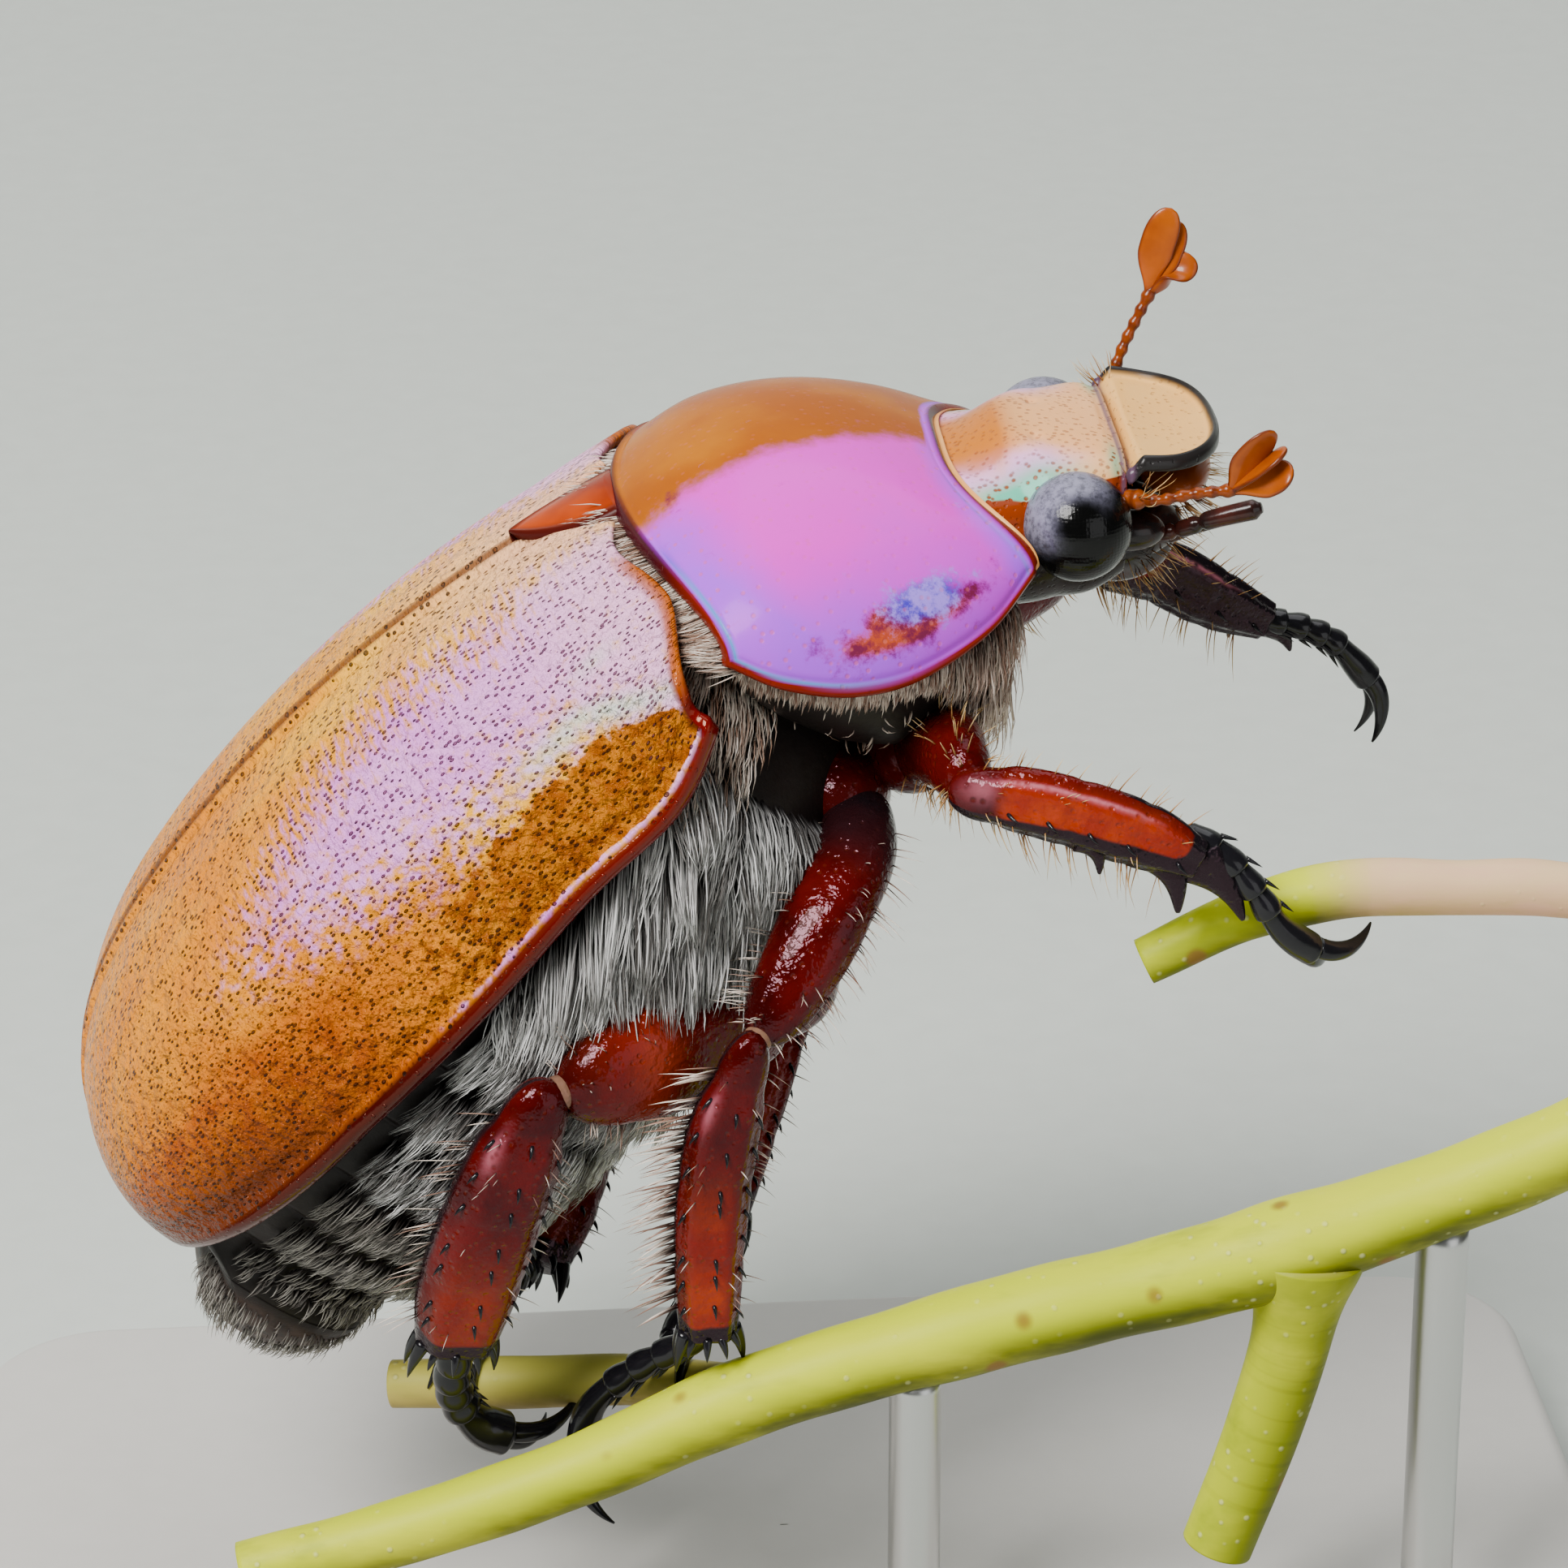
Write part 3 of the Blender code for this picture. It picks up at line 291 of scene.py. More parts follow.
def rounded(angle, fullness):
    """Cosine and sine of a superellipse: 2 is an ellipse, and more is fuller."""
    power = 2.0 / fullness
    c, s = np.cos(angle), np.sin(angle)
    return np.sign(c) * np.abs(c) ** power, np.sign(s) * np.abs(s) ** power


def on_body(back, across, up):
    """Point at a distance back from the shoulder, across to the left, and up from the side edge."""
    back, across, up = (np.asarray(v, float)[..., None] for v in np.broadcast_arrays(back, across, up))
    return SHOULDER - body_forward * back + body_up * up + across * np.array([0, 1, 0])


def dome(back):
    """Half width and height of the dome: straight sides, then a full round end, w(1 - t^2.5)^(1/2.5)."""
    rear_w = np.clip((back - 9.0) / (CASE_LENGTH - 9.0), 0, 1)
    front_w = np.clip((9.0 - back) / 9.0, 0, 2)
    rear_h = np.clip((back - 9.5) / (CASE_LENGTH - 9.5), 0, 1)
    front_h = np.clip((9.5 - back) / 9.5, 0, 2)
    half = CASE_HALF_WIDTH * (1 - 0.10 * front_w**2) * (1 - rear_w**2.5) ** 0.4
    high = CASE_HEIGHT * (1 - 0.35 * front_h**2) * (1 - rear_h**2.5) ** 0.4
    return half, high


def case_edge(back):
    """Swing of the side edge above or below a straight line: a sine, a dip and a rise to the tail."""
    sag = -0.34 * np.sin(math.pi * np.clip(back, 0, 11) / 11) - 0.55 * bell(back, 1.6, 1.9)
    return sag + 0.5 * np.clip((back - 10.5) / 6.7, 0, 1) ** 2


def case_surface(side, inset, rows=150, columns=120):
    """A wing case's skin, lowered by inset: rows from its base to the tail, columns from seam to side.

    Each row is a superellipse quarter over the dome. Gives points, distances back and cosines.
    """
    angle = np.radians(90 * (1 - np.linspace(0, 1, columns) ** 1.15))
    c, s = rounded(angle, 2.3)
    start = 1.25 * np.clip((c - 0.76) / 0.24, 0, 1) ** 2.2 + 2.45 * np.clip(1 - c / 0.27, 0, 1)
    start = start - 1.25 + inset * 0.4 + 0.45 * bell(c, 0.42, 0.22)
    share = 1 - (1 - np.linspace(0, 0.997, rows)[:, None]) ** 1.35
    end = CASE_LENGTH - inset
    back = start + (end - start) * share
    at = np.clip(back * CASE_LENGTH / end, -3, CASE_LENGTH)
    half, high = dome(at)
    half = half - inset * half / CASE_HALF_WIDTH
    high = high - inset * high / CASE_HEIGHT
    up = high * s + case_edge(at) * (1 - s)
    points = on_body(back, side * (HALF_SEAM + (half - HALF_SEAM) * c), up)
    return points, np.broadcast_to(back, up.shape), np.broadcast_to(c, up.shape)


def slab(outer, inner, bulge=0.3, steps=5):
    """A curved plate between two grids, with a rim rounded by half a sine wave.

    Gives points, quads and each point's row and column.
    """
    rows, columns = outer.shape[:2]
    rim = [(0, j) for j in range(columns)] + [(i, columns - 1) for i in range(1, rows)]
    rim += [(rows - 1, j) for j in range(columns - 2, -1, -1)] + [(i, 0) for i in range(rows - 2, 0, -1)]
    rim = np.array(rim)
    inward = np.stack([np.clip(rim[:, 0], 1, rows - 2), np.clip(rim[:, 1], 1, columns - 2)], 1)
    a, b = outer[rim[:, 0], rim[:, 1]], inner[rim[:, 0], rim[:, 1]]
    away = unit(a - outer[inward[:, 0], inward[:, 1]])
    wall = np.linalg.norm(b - a, axis=1, keepdims=True)
    under = rows * columns
    points = [outer.reshape(-1, 3), inner.reshape(-1, 3)]
    places = [np.indices((rows, columns)).reshape(2, -1).T] * 2
    loops = [rim[:, 0] * columns + rim[:, 1]]
    for k in range(1, steps):
        t = k / steps
        loops.append(np.arange(len(rim)) + 2 * under + (k - 1) * len(rim))
        points.append(a * (1 - t) + b * t + away * wall * bulge * math.sin(math.pi * t))
        places.append(rim)
    loops.append(loops[0] + under)
    quads = [grid_quads(rows, columns), grid_quads(rows, columns, under)[:, ::-1]]
    for first, second in zip(loops, loops[1:]):
        quads.append(np.stack([first, second, np.roll(second, -1), np.roll(first, -1)], 1))
    return np.concatenate(points), np.concatenate(quads), np.concatenate(places)


# Every shell, skin and bark here is two colours in clouds, so this is one group with its own
# values in each material.
TWO_TONE_INPUTS = {"Cloud": "Float", "Low": "Float", "High": "Float", "First": "Color", "Second": "Color"}
two_tone = Paint("two tone", TWO_TONE_INPUTS)
value, low, high, first, second = two_tone.inputs
result = two_tone.tree.nodes.new("NodeGroupOutput")
two_tone.set(result.inputs["Colour"], value.step(low, high).between(first, second))


def mottled(cloud, low, high, first, second):
    """The first colour where the cloud is under low, and the second where it is over high."""
    values = dict(zip(TWO_TONE_INPUTS, (cloud, low, high, first, second)))
    return cloud.paint.add("ShaderNodeGroup", values, "Colour", node_tree=two_tone.tree)


paint = Paint("wing case shell")
shell = paint.add("ShaderNodeUVMap", {}, uv_map="Shell")
lilac, mint, rust, edge, tail, glaze = paint.fields("lilac mint rust edge tail glaze")
cloud = paint.noise(420, 4)
fine_cloud = paint.noise(1900, 4, 0.6)
mottle = paint.noise(3200, 4, 0.6)
across_streak = paint.noise(1.5, 2, 0.5, paint.stretch(shell, (1.1, 4.6, 1)))
texture = paint.field("low").between(across_streak, paint.noise(3.4, 2, 0.5, shell))

# Amber, deeper to the rear. The darker brown toward the tail is partly the shell's own colour
# and partly painted shade on the lower side; the last darkening is painted shade along the lower edge.
amber = mottled(cloud, 0.35, 0.7, (0.84, 0.33, 0.0), (0.96, 0.47, 0.0))
deep_amber = mottled(cloud, 0.35, 0.7, (0.76, 0.235, 0.0), (0.88, 0.33, 0.0))
amber = paint.field("rear").between(amber, deep_amber)
amber = tail.between(amber, mottled(fine_cloud, 0.35, 0.65, (0.38, 0.070, 0.0), (0.56, 0.135, 0.0)))
amber = paint.field("painted_low_shade").between(amber, (0.15, 0.026, 0.0))

# The pearly lilac band has ragged streaks along its edges. The lilac field also carries a
# painted highlight line along the raised rim.
ragged = lilac + (texture * 2.6 - 1.35)
band = ragged.step(0.02, 0.98) * lilac.step(0.02, 0.30)
pearl = mottled(cloud, 0.35, 0.65, (0.72, 0.22, 0.78), (0.86, 0.35, 0.88))
# Painted highlight: the pearl turns paler toward the front of the cases.
pearl = paint.field("shoulder").between(pearl, (0.92, 0.46, 0.90))
colour = (band * 0.93).between(amber, pearl)
# Painted highlight: a pale peach glare over the top toward the front.
colour = (glaze * 0.85).between(colour, (0.94, 0.52, 0.36))
colour = (mint * fine_cloud.step(0.3, 0.55, 0.5, 1.0)).between(colour, (0.66, 0.72, 0.62))

# A torn rusty patch lies behind the shoulder.
rusty = mottled(mottle, 0.40, 0.62, (0.48, 0.145, 0.0), (0.28, 0.066, 0.0))
rusty = paint.noise(4200, 2, 0.6).step(0.58, 0.72, 0.0, 0.45).between(rusty, (0.085, 0.013, 0.0))
torn = (rust + (mottle * 1.7 - 0.85)).step(0.38, 0.62)
colour = torn.between(colour, rusty)

# Pits of two sizes and a dark stipple near the tail.
pits = paint.cells(1.0, 0.58, paint.stretch(shell, (6.3, 5.3, 1)))
pit = (pits + (paint.noise(0.9, 2, 0.55, shell) * 0.22 + (rust * -0.03 - 0.10))).step(0.32, 0.19)
fine = paint.cells(1.0, 1.0, paint.stretch(shell, (8.2, 8.2, 1)))
fleck = fine.step(0.36, 0.18) * (band.step(0.2, 0.9, 0.95, 0.05) * (rust * -0.7 + 1.0))
stipple = paint.noise(5200, 2, 0.6).step(0.52, 0.68) * tail.step(0.05, 0.8, 0.0, 0.62)
colour = (stipple * band.step(0.6, 0.1)).between(colour, (0.19, 0.036, 0.0))
colour = (fleck * tail.step(0.0, 0.7, 0.30, 0.80)).between(colour, (0.11, 0.018, 0.0))
colour = (pit * 0.85).between(colour, band.between((0.020, 0.004, 0.002), (0.10, 0.022, 0.055)))

# The deep-red rim; over the lower side near the tail the same field is a broad painted shade, darker toward the
# tail.
colour = edge.between(colour, tail.between((0.125, 0.0012, 0.0006), (0.040, 0.0012, 0.0012)))
colour = paint.field("lip").between(colour, (0.42, 0.085, 0.0))
colour = paint.field("seam").between(colour, (0.15, 0.045, 0.010))
wrinkle = paint.noise(2.6, 3, 0.55, paint.stretch(shell, (1.0, 1.5, 1)))
case_material = paint.finish(
    Base_Color=colour,
    Roughness=edge * -0.10 + 0.21 + cloud * 0.08,
    Specular_IOR_Level=edge * 0.30 + 0.17,
    Specular_Tint=(1.0, 0.50, 0.34),
    Coat_Weight=0.05,
    Coat_IOR=1.4,
    Coat_Roughness=0.12,
    Normal=paint.bump((wrinkle * 0.80 - pit * 1.1) * (edge * -0.97 + 1.0), 0.00046),
)

for side, tag in SIDES:
    name = "wing_case_" + tag
    outer, back, c = case_surface(side, 0.0)
    inner, _, _ = case_surface(side, CASE_WALL)
    edge_distance = np.linalg.norm(outer - outer[:, -1:], axis=-1)
    base_distance = np.linalg.norm(outer - outer[:1], axis=-1)
    seam_distance = np.abs(outer[..., 1])
    share = np.clip((back + 1.2) / (CASE_LENGTH + 1.2), 0, 1)
    fade = ramp(share, 0.97, 0.80)
    # The side edge and the seam are raised, the shoulder bulges and three low ribs run back.
    lift = 0.13 * bell(edge_distance, 0.22, 0.16) * fade - 0.10 * bell(edge_distance, 0.62, 0.22) * fade
    lift += 0.07 * bell(seam_distance, 0.22, 0.14) - 0.04 * bell(seam_distance, 0.5, 0.16)
    lift += 0.28 * bell(share, 0.09, 0.05) * bell(c, 0.86, 0.10)
    for middle, height in ((0.30, 0.05), (0.50, 0.05), (0.68, 0.04)):
        lift += height * bell(c, middle, 0.05) * ramp(share, 0.05, 0.2) * ramp(share, 0.95, 0.7)
    points, quads, where = slab(outer + unit(outer - inner) * lift[..., None], inner, 0.35)
    i, j = where[:, 0], where[:, 1]
    # a runs from the seam to the side, b from the base to the tail.
    a, b, base = np.linspace(0, 1, outer.shape[1])[j] ** 1.15, share[i, j], base_distance[i, j]
    wide = 0.235 - 0.13 * ramp(b, 0.25, 0.75)
    upper = 0.62 + 0.24 * b + 0.22 * ramp(b, 0.17, 0.02)
    main_band = 1.1 * bell(a, 0.43 + 0.10 * b, wide) * ramp(b, 0.76, 0.50)
    main_band = main_band * (0.35 + 0.65 * ramp(b, 0.66, 0.34))
    # Painted highlight: a thin lilac line along the raised rim.
    rim_highlight_line = 0.85 * bell(a, 0.960, 0.007) * ramp(b, 0.58, 0.36)
    patch_front = ramp(np.hypot((a - 0.85) / 0.22, np.minimum(b - 0.27, 0) / 0.235), 1.12, 0.90)
    # The deep-red rim and base corner, plus a broad painted shade over the lower side near the tail.
    red_rim_and_low_shade = ramp(a, 0.964, 0.972) * ramp(b, 1.05, 0.7) + 0.45 * ramp(a, 0.86, 0.97) * ramp(b, 0.58, 0.80)
    red_rim_and_low_shade = red_rim_and_low_shade + ramp(base, 0.30, 0.16) * ramp(a, 0.70, 0.84) + 0.5 * ramp(a, 0.97, 0.985)
    # Painted highlight over the top near the seam, toward the front.
    top_painted_glare = ramp(a, 0.30, 0.06) * ramp(b, 0.42, 0.05) * 0.75
    # Darker toward the tail and lower down: partly the shell's own colour, partly painted shade on the lower side.
    lower_tail_and_shade = ramp(b, 0.38, 0.78) * (0.18 + 0.82 * ramp(a, 0.35, 0.85))
    fields = {
        "lilac": np.clip(main_band + rim_highlight_line + 0.75 * ramp(b, 0.17, 0.06) * ramp(a, 0.10, 0.24), 0, 1.1),
        "mint": 0.95 * bell(a, upper - 0.005, 0.040) * bell(b, 0.13, 0.10)
        + 0.5 * bell(a, 0.56, 0.03) * bell(b, 0.10, 0.03),
        "rust": ramp(a, upper, upper + 0.12) * ramp(a, 0.963, 0.950) * patch_front * ramp(b, 0.60, 0.20)
        + 0.10 * ramp(a, 0.72, 0.84) * ramp(b, 0.2, 0.4),
        "edge": np.clip(red_rim_and_low_shade, 0, 1),
        "seam": 0.9 * ramp(a, 0.014, 0.006),
        "tail": np.clip(lower_tail_and_shade + 0.5 * ramp(a, 0.60, 0.75) * ramp(b, 0.2, 0.4), 0, 1),
        "low": ramp(a, 0.36, 0.50),
        "rear": ramp(b, 0.28, 0.62),
        "lip": ramp(base, 0.26, 0.14) * ramp(a, 0.24, 0.38) * ramp(a, 0.90, 0.78),
        # Painted shade over the lower side near the tail and at the tail's end.
        "painted_low_shade": np.clip(1.0 * ramp(a, 0.62, 0.93) * ramp(b, 0.46, 0.80) + 0.4 * ramp(b, 0.90, 1.0), 0, 1),
        # Painted highlight toward the front of the cases.
        "shoulder": 0.8 * ramp(b, 0.30, 0.06),
        "glaze": np.clip(top_painted_glare + 0.25 * ramp(b, 0.25, 0.0), 0, 1),
    }
    shell_map = np.stack([a * 11.0, b * 19.0], 1)
    piece = build(name + ".shell", points, quads, case_material, {"Shell": shell_map}, fields)
    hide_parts(name)


# ---- neck shield -----------------------------------------------------------------------------
# One plate of hard skin round the front of the body, smoother than the wing cases. It is orange
# along the top and pink turning to violet down the sides, with a fine cyan line inside its
# red-brown raised rim.

# Rows from the front: top x, y, z, then side edge x, y, z, then the keel below, x and z.
SHIELD = np.array(
    [
        (3.10, 0, 28.25, 4.72, 3.90, 26.62, 4.5, 23.9),
        (2.00, 0, 28.60, 3.75, 4.85, 25.85, 4.1, 22.6),
        (0.75, 0, 28.84, 2.35, 5.65, 25.25, 2.8, 22.2),
        (-0.70, 0, 28.80, 0.95, 6.10, 25.08, 1.3, 22.4),
        (-2.10, 0, 28.38, -0.45, 6.22, 25.30, 0.0, 23.1),
        (-3.55, 0, 27.40, -1.66, 6.03, 25.78, -1.0, 24.0),
    ]
)


def smooth(stations, count):
    """Hermite curve through the stations, evenly spread by length over their first three columns."""
    stations = np.asarray(stations, float)
    spans = np.linalg.norm(np.diff(stations[:, :3], axis=0), axis=1)
    knots = np.concatenate([[0.0], np.cumsum(spans)])
    slopes = np.gradient(stations, knots, axis=0)
    at = np.linspace(0.0, knots[-1], count)
    k = np.clip(np.searchsorted(knots, at, side="right") - 1, 0, len(knots) - 2)
    width = (knots[k + 1] - knots[k])[:, None]
    s = ((at - knots[k])[:, None]) / width
    return (
        (2 * s**3 - 3 * s**2 + 1) * stations[k]
        + (s**3 - 2 * s**2 + s) * width * slopes[k]
        + (3 * s**2 - 2 * s**3) * stations[k + 1]
        + (s**3 - s**2) * width * slopes[k + 1]
    )


SHIELD_WALL, BREAST_INSET = 0.34, 0.85
shield_line = smooth(SHIELD, 201)


def shield_points(share, angle, inset):
    """Points of the front body at a share of its length and an angle round it: 90 degrees is the top.

    A superellipse over the side edges and another one under them, with hollowed front and hind edges.
    """
    share, angle = np.broadcast_arrays(share, angle)
    columns = (np.interp(share * 200, np.arange(201), shield_line[:, k]) for k in (0, 2, 3, 4, 5, 6, 7))
    xm, zm, xe, ye, ze, xb, zb = columns
    c, s = rounded(angle, 2.25)
    over = s >= 0
    hollow = np.abs(c) ** (2 + 1.3 * ramp(share, 0.25, 0.0))
    x = np.where(over, xm + (xe - xm) * hollow, xb + (xe - xb) * c**2)
    z = np.where(over, ze + (zm - ze - inset) * s, ze + (ze - zb - min(inset, 0)) * s)
    return np.stack([x, (ye - inset) * c, z], -1)


paint = Paint("neck shield shell")
orange, violet, cyan, edge, rust, blue = paint.fields("orange violet cyan edge rust blue")
cloud = paint.noise(260, 4)
blotch = paint.noise(1700, 6, 0.72)
warp = cloud * 1.2 - 0.60
colour = (violet + warp).between((0.76, 0.015, 0.62), (0.42, 0.050, 0.88))
top = mottled(cloud, 0.4, 0.65, (0.34, 0.078, 0.0), (0.44, 0.132, 0.0))
border = orange + (warp + (paint.noise(2300, 4, 0.7) * 0.6 - 0.30))
colour = border.step(0.22, 0.80).between(colour, top)
rusty = mottled(blotch, 0.4, 0.6, (0.50, 0.065, 0.010), (0.15, 0.012, 0.050))
colour = (rust + (blotch * 1.9 - 0.95)).step(0.22, 0.78).between(colour, rusty)
bluish = mottled(blotch, 0.42, 0.60, (0.34, 0.20, 0.84), (0.05, 0.03, 0.50))
colour = (blue + ((1.0 - blotch) * 2.0 - 1.0)).step(0.30, 0.72).between(colour, bluish)
dot = paint.cells(4200).step(0.28, 0.12) * violet.step(0.1, 0.9, 0.35, 0.85)
colour = (dot * 0.6).between(colour, (0.60, 0.12, 0.10))
teal = paint.field("teal")
colour = cyan.between(colour, teal.between((0.14, 0.05, 0.62), (0.0, 0.30, 0.56)))
colour = edge.between(colour, teal.between((0.050, 0.004, 0.008), (0.17, 0.010, 0.002)))
shield_material = paint.finish(
    Base_Color=colour,
    Roughness=0.24,
    Specular_IOR_Level=orange * -0.08 + 0.13,
    Specular_Tint=(1.0, 0.30, 0.50),
    Coat_Weight=orange * -0.07 + 0.07,
    Coat_IOR=1.4,
    Coat_Roughness=0.10,
    Normal=paint.bump(cloud * 0.4 - dot * 0.5, 0.00004, 0.5),
)

share, angle = np.meshgrid(np.linspace(0, 1, 100), np.linspace(0, math.pi, 210), indexing="ij")
outer, inner = shield_points(share, angle, 0.0), shield_points(share, angle, SHIELD_WALL)
right_edge, left_edge = (np.linalg.norm(outer - line, axis=-1) for line in (outer[:, :1], outer[:, -1:]))
side_distance = np.minimum(right_edge, left_edge)
front_distance = np.linalg.norm(outer - outer[:1], axis=-1)
hind_distance = np.linalg.norm(outer - outer[-1:], axis=-1)
rim = np.minimum(np.minimum(side_distance, front_distance * 1.9), hind_distance * 1.3)
lift = 0.07 * bell(rim, 0.08, 0.07) - 0.05 * bell(rim, 0.25, 0.09)
points, quads, where = slab(outer + unit(outer - inner) * lift[..., None], inner, 0.35)
i, j = where[:, 0], where[:, 1]
over, b = 2 * angle[i, j] / math.pi - 1, share[i, j]
a = np.abs(over)
front_d, hind_d, side_d = front_distance[i, j], hind_distance[i, j], side_distance[i, j]
violet = ramp(a, 0.45, 0.95) * (0.45 + 0.55 * ramp(b, 0.1, 0.6)) + 0.75 * ramp(front_d, 0.9, 0.15)
cyan = 0.9 * bell(np.minimum(side_d, hind_d), 0.20, 0.05) * ramp(a, 0.30, 0.42) * ramp(b, 0.35, 0.60)
rust = 1.0 * bell(a, 0.85 + 0.10 * (b - 0.5), 0.062) * bell(b, 0.40, 0.25)
rust = rust + 0.6 * bell(a, 0.77, 0.04) * bell(b, 0.45, 0.05)
rust = rust + 0.5 * bell(a, 0.22, 0.05) * bell(b, 0.86, 0.04)
top_line = ramp(over, 0.19 + 0.16 * b, 0.01 + 0.16 * b)
fields = {
    "orange": top_line * ramp(over, -0.62, -0.48) * ramp(front_d, 0.14, 0.30),
    "violet": np.clip(violet + 0.95 * ramp(hind_d, 2.2, 0.3) * ramp(a, 0.1, 0.4), 0, 1),
    "cyan": np.clip(cyan + 0.5 * bell(front_d, 0.20, 0.04) * ramp(a, 0.2, 0.4), 0, 1),
    "teal": ramp(side_d, 3.2, 1.6),
    "edge": np.clip(ramp(side_d, 0.22, 0.14) + ramp(np.minimum(front_d, hind_d), 0.10, 0.05), 0, 1),
    "rust": np.clip(rust, 0, 1),
    "blue": bell(a, 0.765, 0.080) * bell(b, 0.32, 0.14),
}
piece = build("pronotum.shell", points, quads, shield_material, fields=fields)
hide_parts("pronotum")


# ---- trunk under the wing cases --------------------------------------------------------------
# Black, finely wrinkled skin: a broad thorax, six overlapping belly plates and a tail plate with
# a rusty tip. Nearly all of it hides under hair.

# Rows of the trunk: distance back, half width, middle's height, then height above and below it.
CASE_GAP = 0.95
trunk_rows = []
for back in (-0.9, 0.2, 1.6, 3.4, 5.4, 7.4, 9.4, 11.4, 13.2, 14.6, 15.7):
    half, _ = dome(back)
    _, high = dome(max(back, 0))
    narrow = min(1.0, 0.62 + 0.38 * (back + 0.9) / 1.9)
    down = 6.2 * (0.74 + 0.26 * min(1, (back + 0.9) / 3.5)) - 1.3 * max(0, (back - 10.5) / 5) ** 2
    trunk_rows.append((back, (half - CASE_GAP) * narrow, 0.0, (high - CASE_GAP) * narrow, down))
trunk_rows += [(16.6, 3.9, -1.1, 0.8, 3.7), (17.4, 3.3, -1.9, 1.3, 2.5)]
trunk_rows += [(18.1, 2.3, -2.2, 1.0, 1.5), (18.6, 1.0, -2.4, 0.5, 0.7)]
trunk_line = smooth(trunk_rows, 400)
PLATES = np.array([7.6, 9.3, 10.9, 12.5, 14.0, 15.4, 16.7])


def trunk(back, degrees, fold=0.0):
    """Skin of the trunk at a distance back and an angle round it: 90 is the top and -90 the belly's middle.

    Each row is a superellipse. Each belly plate rises to the rear by fold and drops to the next one.
    """
    back, degrees = np.broadcast_arrays(np.asarray(back, float), np.asarray(degrees, float))
    half, middle, up, down = (np.interp(back, trunk_line[:, 0], trunk_line[:, k]) for k in range(1, 5))
    angle = np.radians(degrees)
    c, s = rounded(angle, 2.3)
    k = np.clip(np.searchsorted(PLATES, back, side="right") - 1, 0, len(PLATES) - 2)
    t = np.clip((back - PLATES[k]) / (PLATES[k + 1] - PLATES[k]), 0, 1)
    dent = fold * np.where(s < 0.15, 1 - t**0.6 * (1 - ramp(t, 0.9, 1.0)), 0)
    tall = np.where(s > 0, up, down)
    point = on_body(back, (half - dent) * c, middle + (tall - dent) * s)
    sideways, upwards = (np.cos(angle) / half)[..., None], (np.sin(angle) / tall)[..., None]
    return point, unit(np.array([0, 1.0, 0]) * sideways + body_up * upwards)


paint = Paint("black skin")
rust = paint.field("rust")
grain, wrinkle = paint.noise(2600, 5, 0.6), paint.noise(700)
black = wrinkle.between((0.003, 0.002, 0.002), (0.014, 0.009, 0.008))
brown = mottled(rust, 0.5, 0.95, (0.085, 0.045, 0.030), (0.52, 0.15, 0.02))
skin_material = paint.finish(
    Base_Color=(rust * grain.step(0.3, 0.6)).between(black, brown),
    Roughness=grain * 0.3 + 0.32,
    Specular_IOR_Level=0.20,
    Normal=paint.bump(grain + wrinkle * 1.5, 0.00004, 0.6),
)

for name, first, last, rows in (
    ("thorax", -0.9, 7.45, 90),
    ("abdomen", 7.35, 16.75, 200),
    ("pygidium", 16.55, 18.6, 70),
):
    back = np.linspace(first, last, rows)
    round_it = np.linspace(-180, 180, 160, endpoint=False)
    ring, _ = trunk(back[:, None], round_it[None, :], 0.20 if name == "abdomen" else 0.0)
    middles = ring.mean(1, keepdims=True)
    front_cap = middles[:1] + (ring[:1] - middles[:1]) * 0.01
    hind_cap = middles[-1:] + (ring[-1:] - middles[-1:]) * 0.01
    ring = np.concatenate([front_cap, ring, hind_cap])
    rusty = 0.5 * ramp(back, 16.6, 17.0) + 0.5 * ramp(back, 17.9, 18.5)
    rust = np.repeat(np.concatenate([[0], rusty, [1]]) * (name == "pygidium"), 160)
    quads = grid_quads(rows + 2, 160, around=True)
    piece = build(name + ".skin", ring, quads, skin_material, fields={"rust": rust})
    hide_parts(name)

# The breast under the neck shield.
round_it = np.linspace(0, 2 * math.pi, 160, endpoint=False)
share, angle = np.meshgrid(np.linspace(0.11, 0.95, 80), round_it, indexing="ij")
ring = shield_points(share, angle, BREAST_INSET)
caps = [ring[k] * 0.01 + ring[k].mean(1, keepdims=True) * 0.99 for k in (slice(0, 1), slice(-1, None))]
ring = np.concatenate([caps[0], ring, caps[1]])
quads = grid_quads(82, 160, around=True)
fields = {"rust": np.zeros(82 * 160)}
piece = build("prosternum.skin", ring, quads, skin_material, fields=fields)
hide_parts("prosternum")


# ---- coat ------------------------------------------------------------------------------------
# Fine silver hair that grows from the black skin in tufts: long and thick on the flanks of the
# thorax and in rows on the belly plates. A cream fringe stands where shield and wing cases meet.


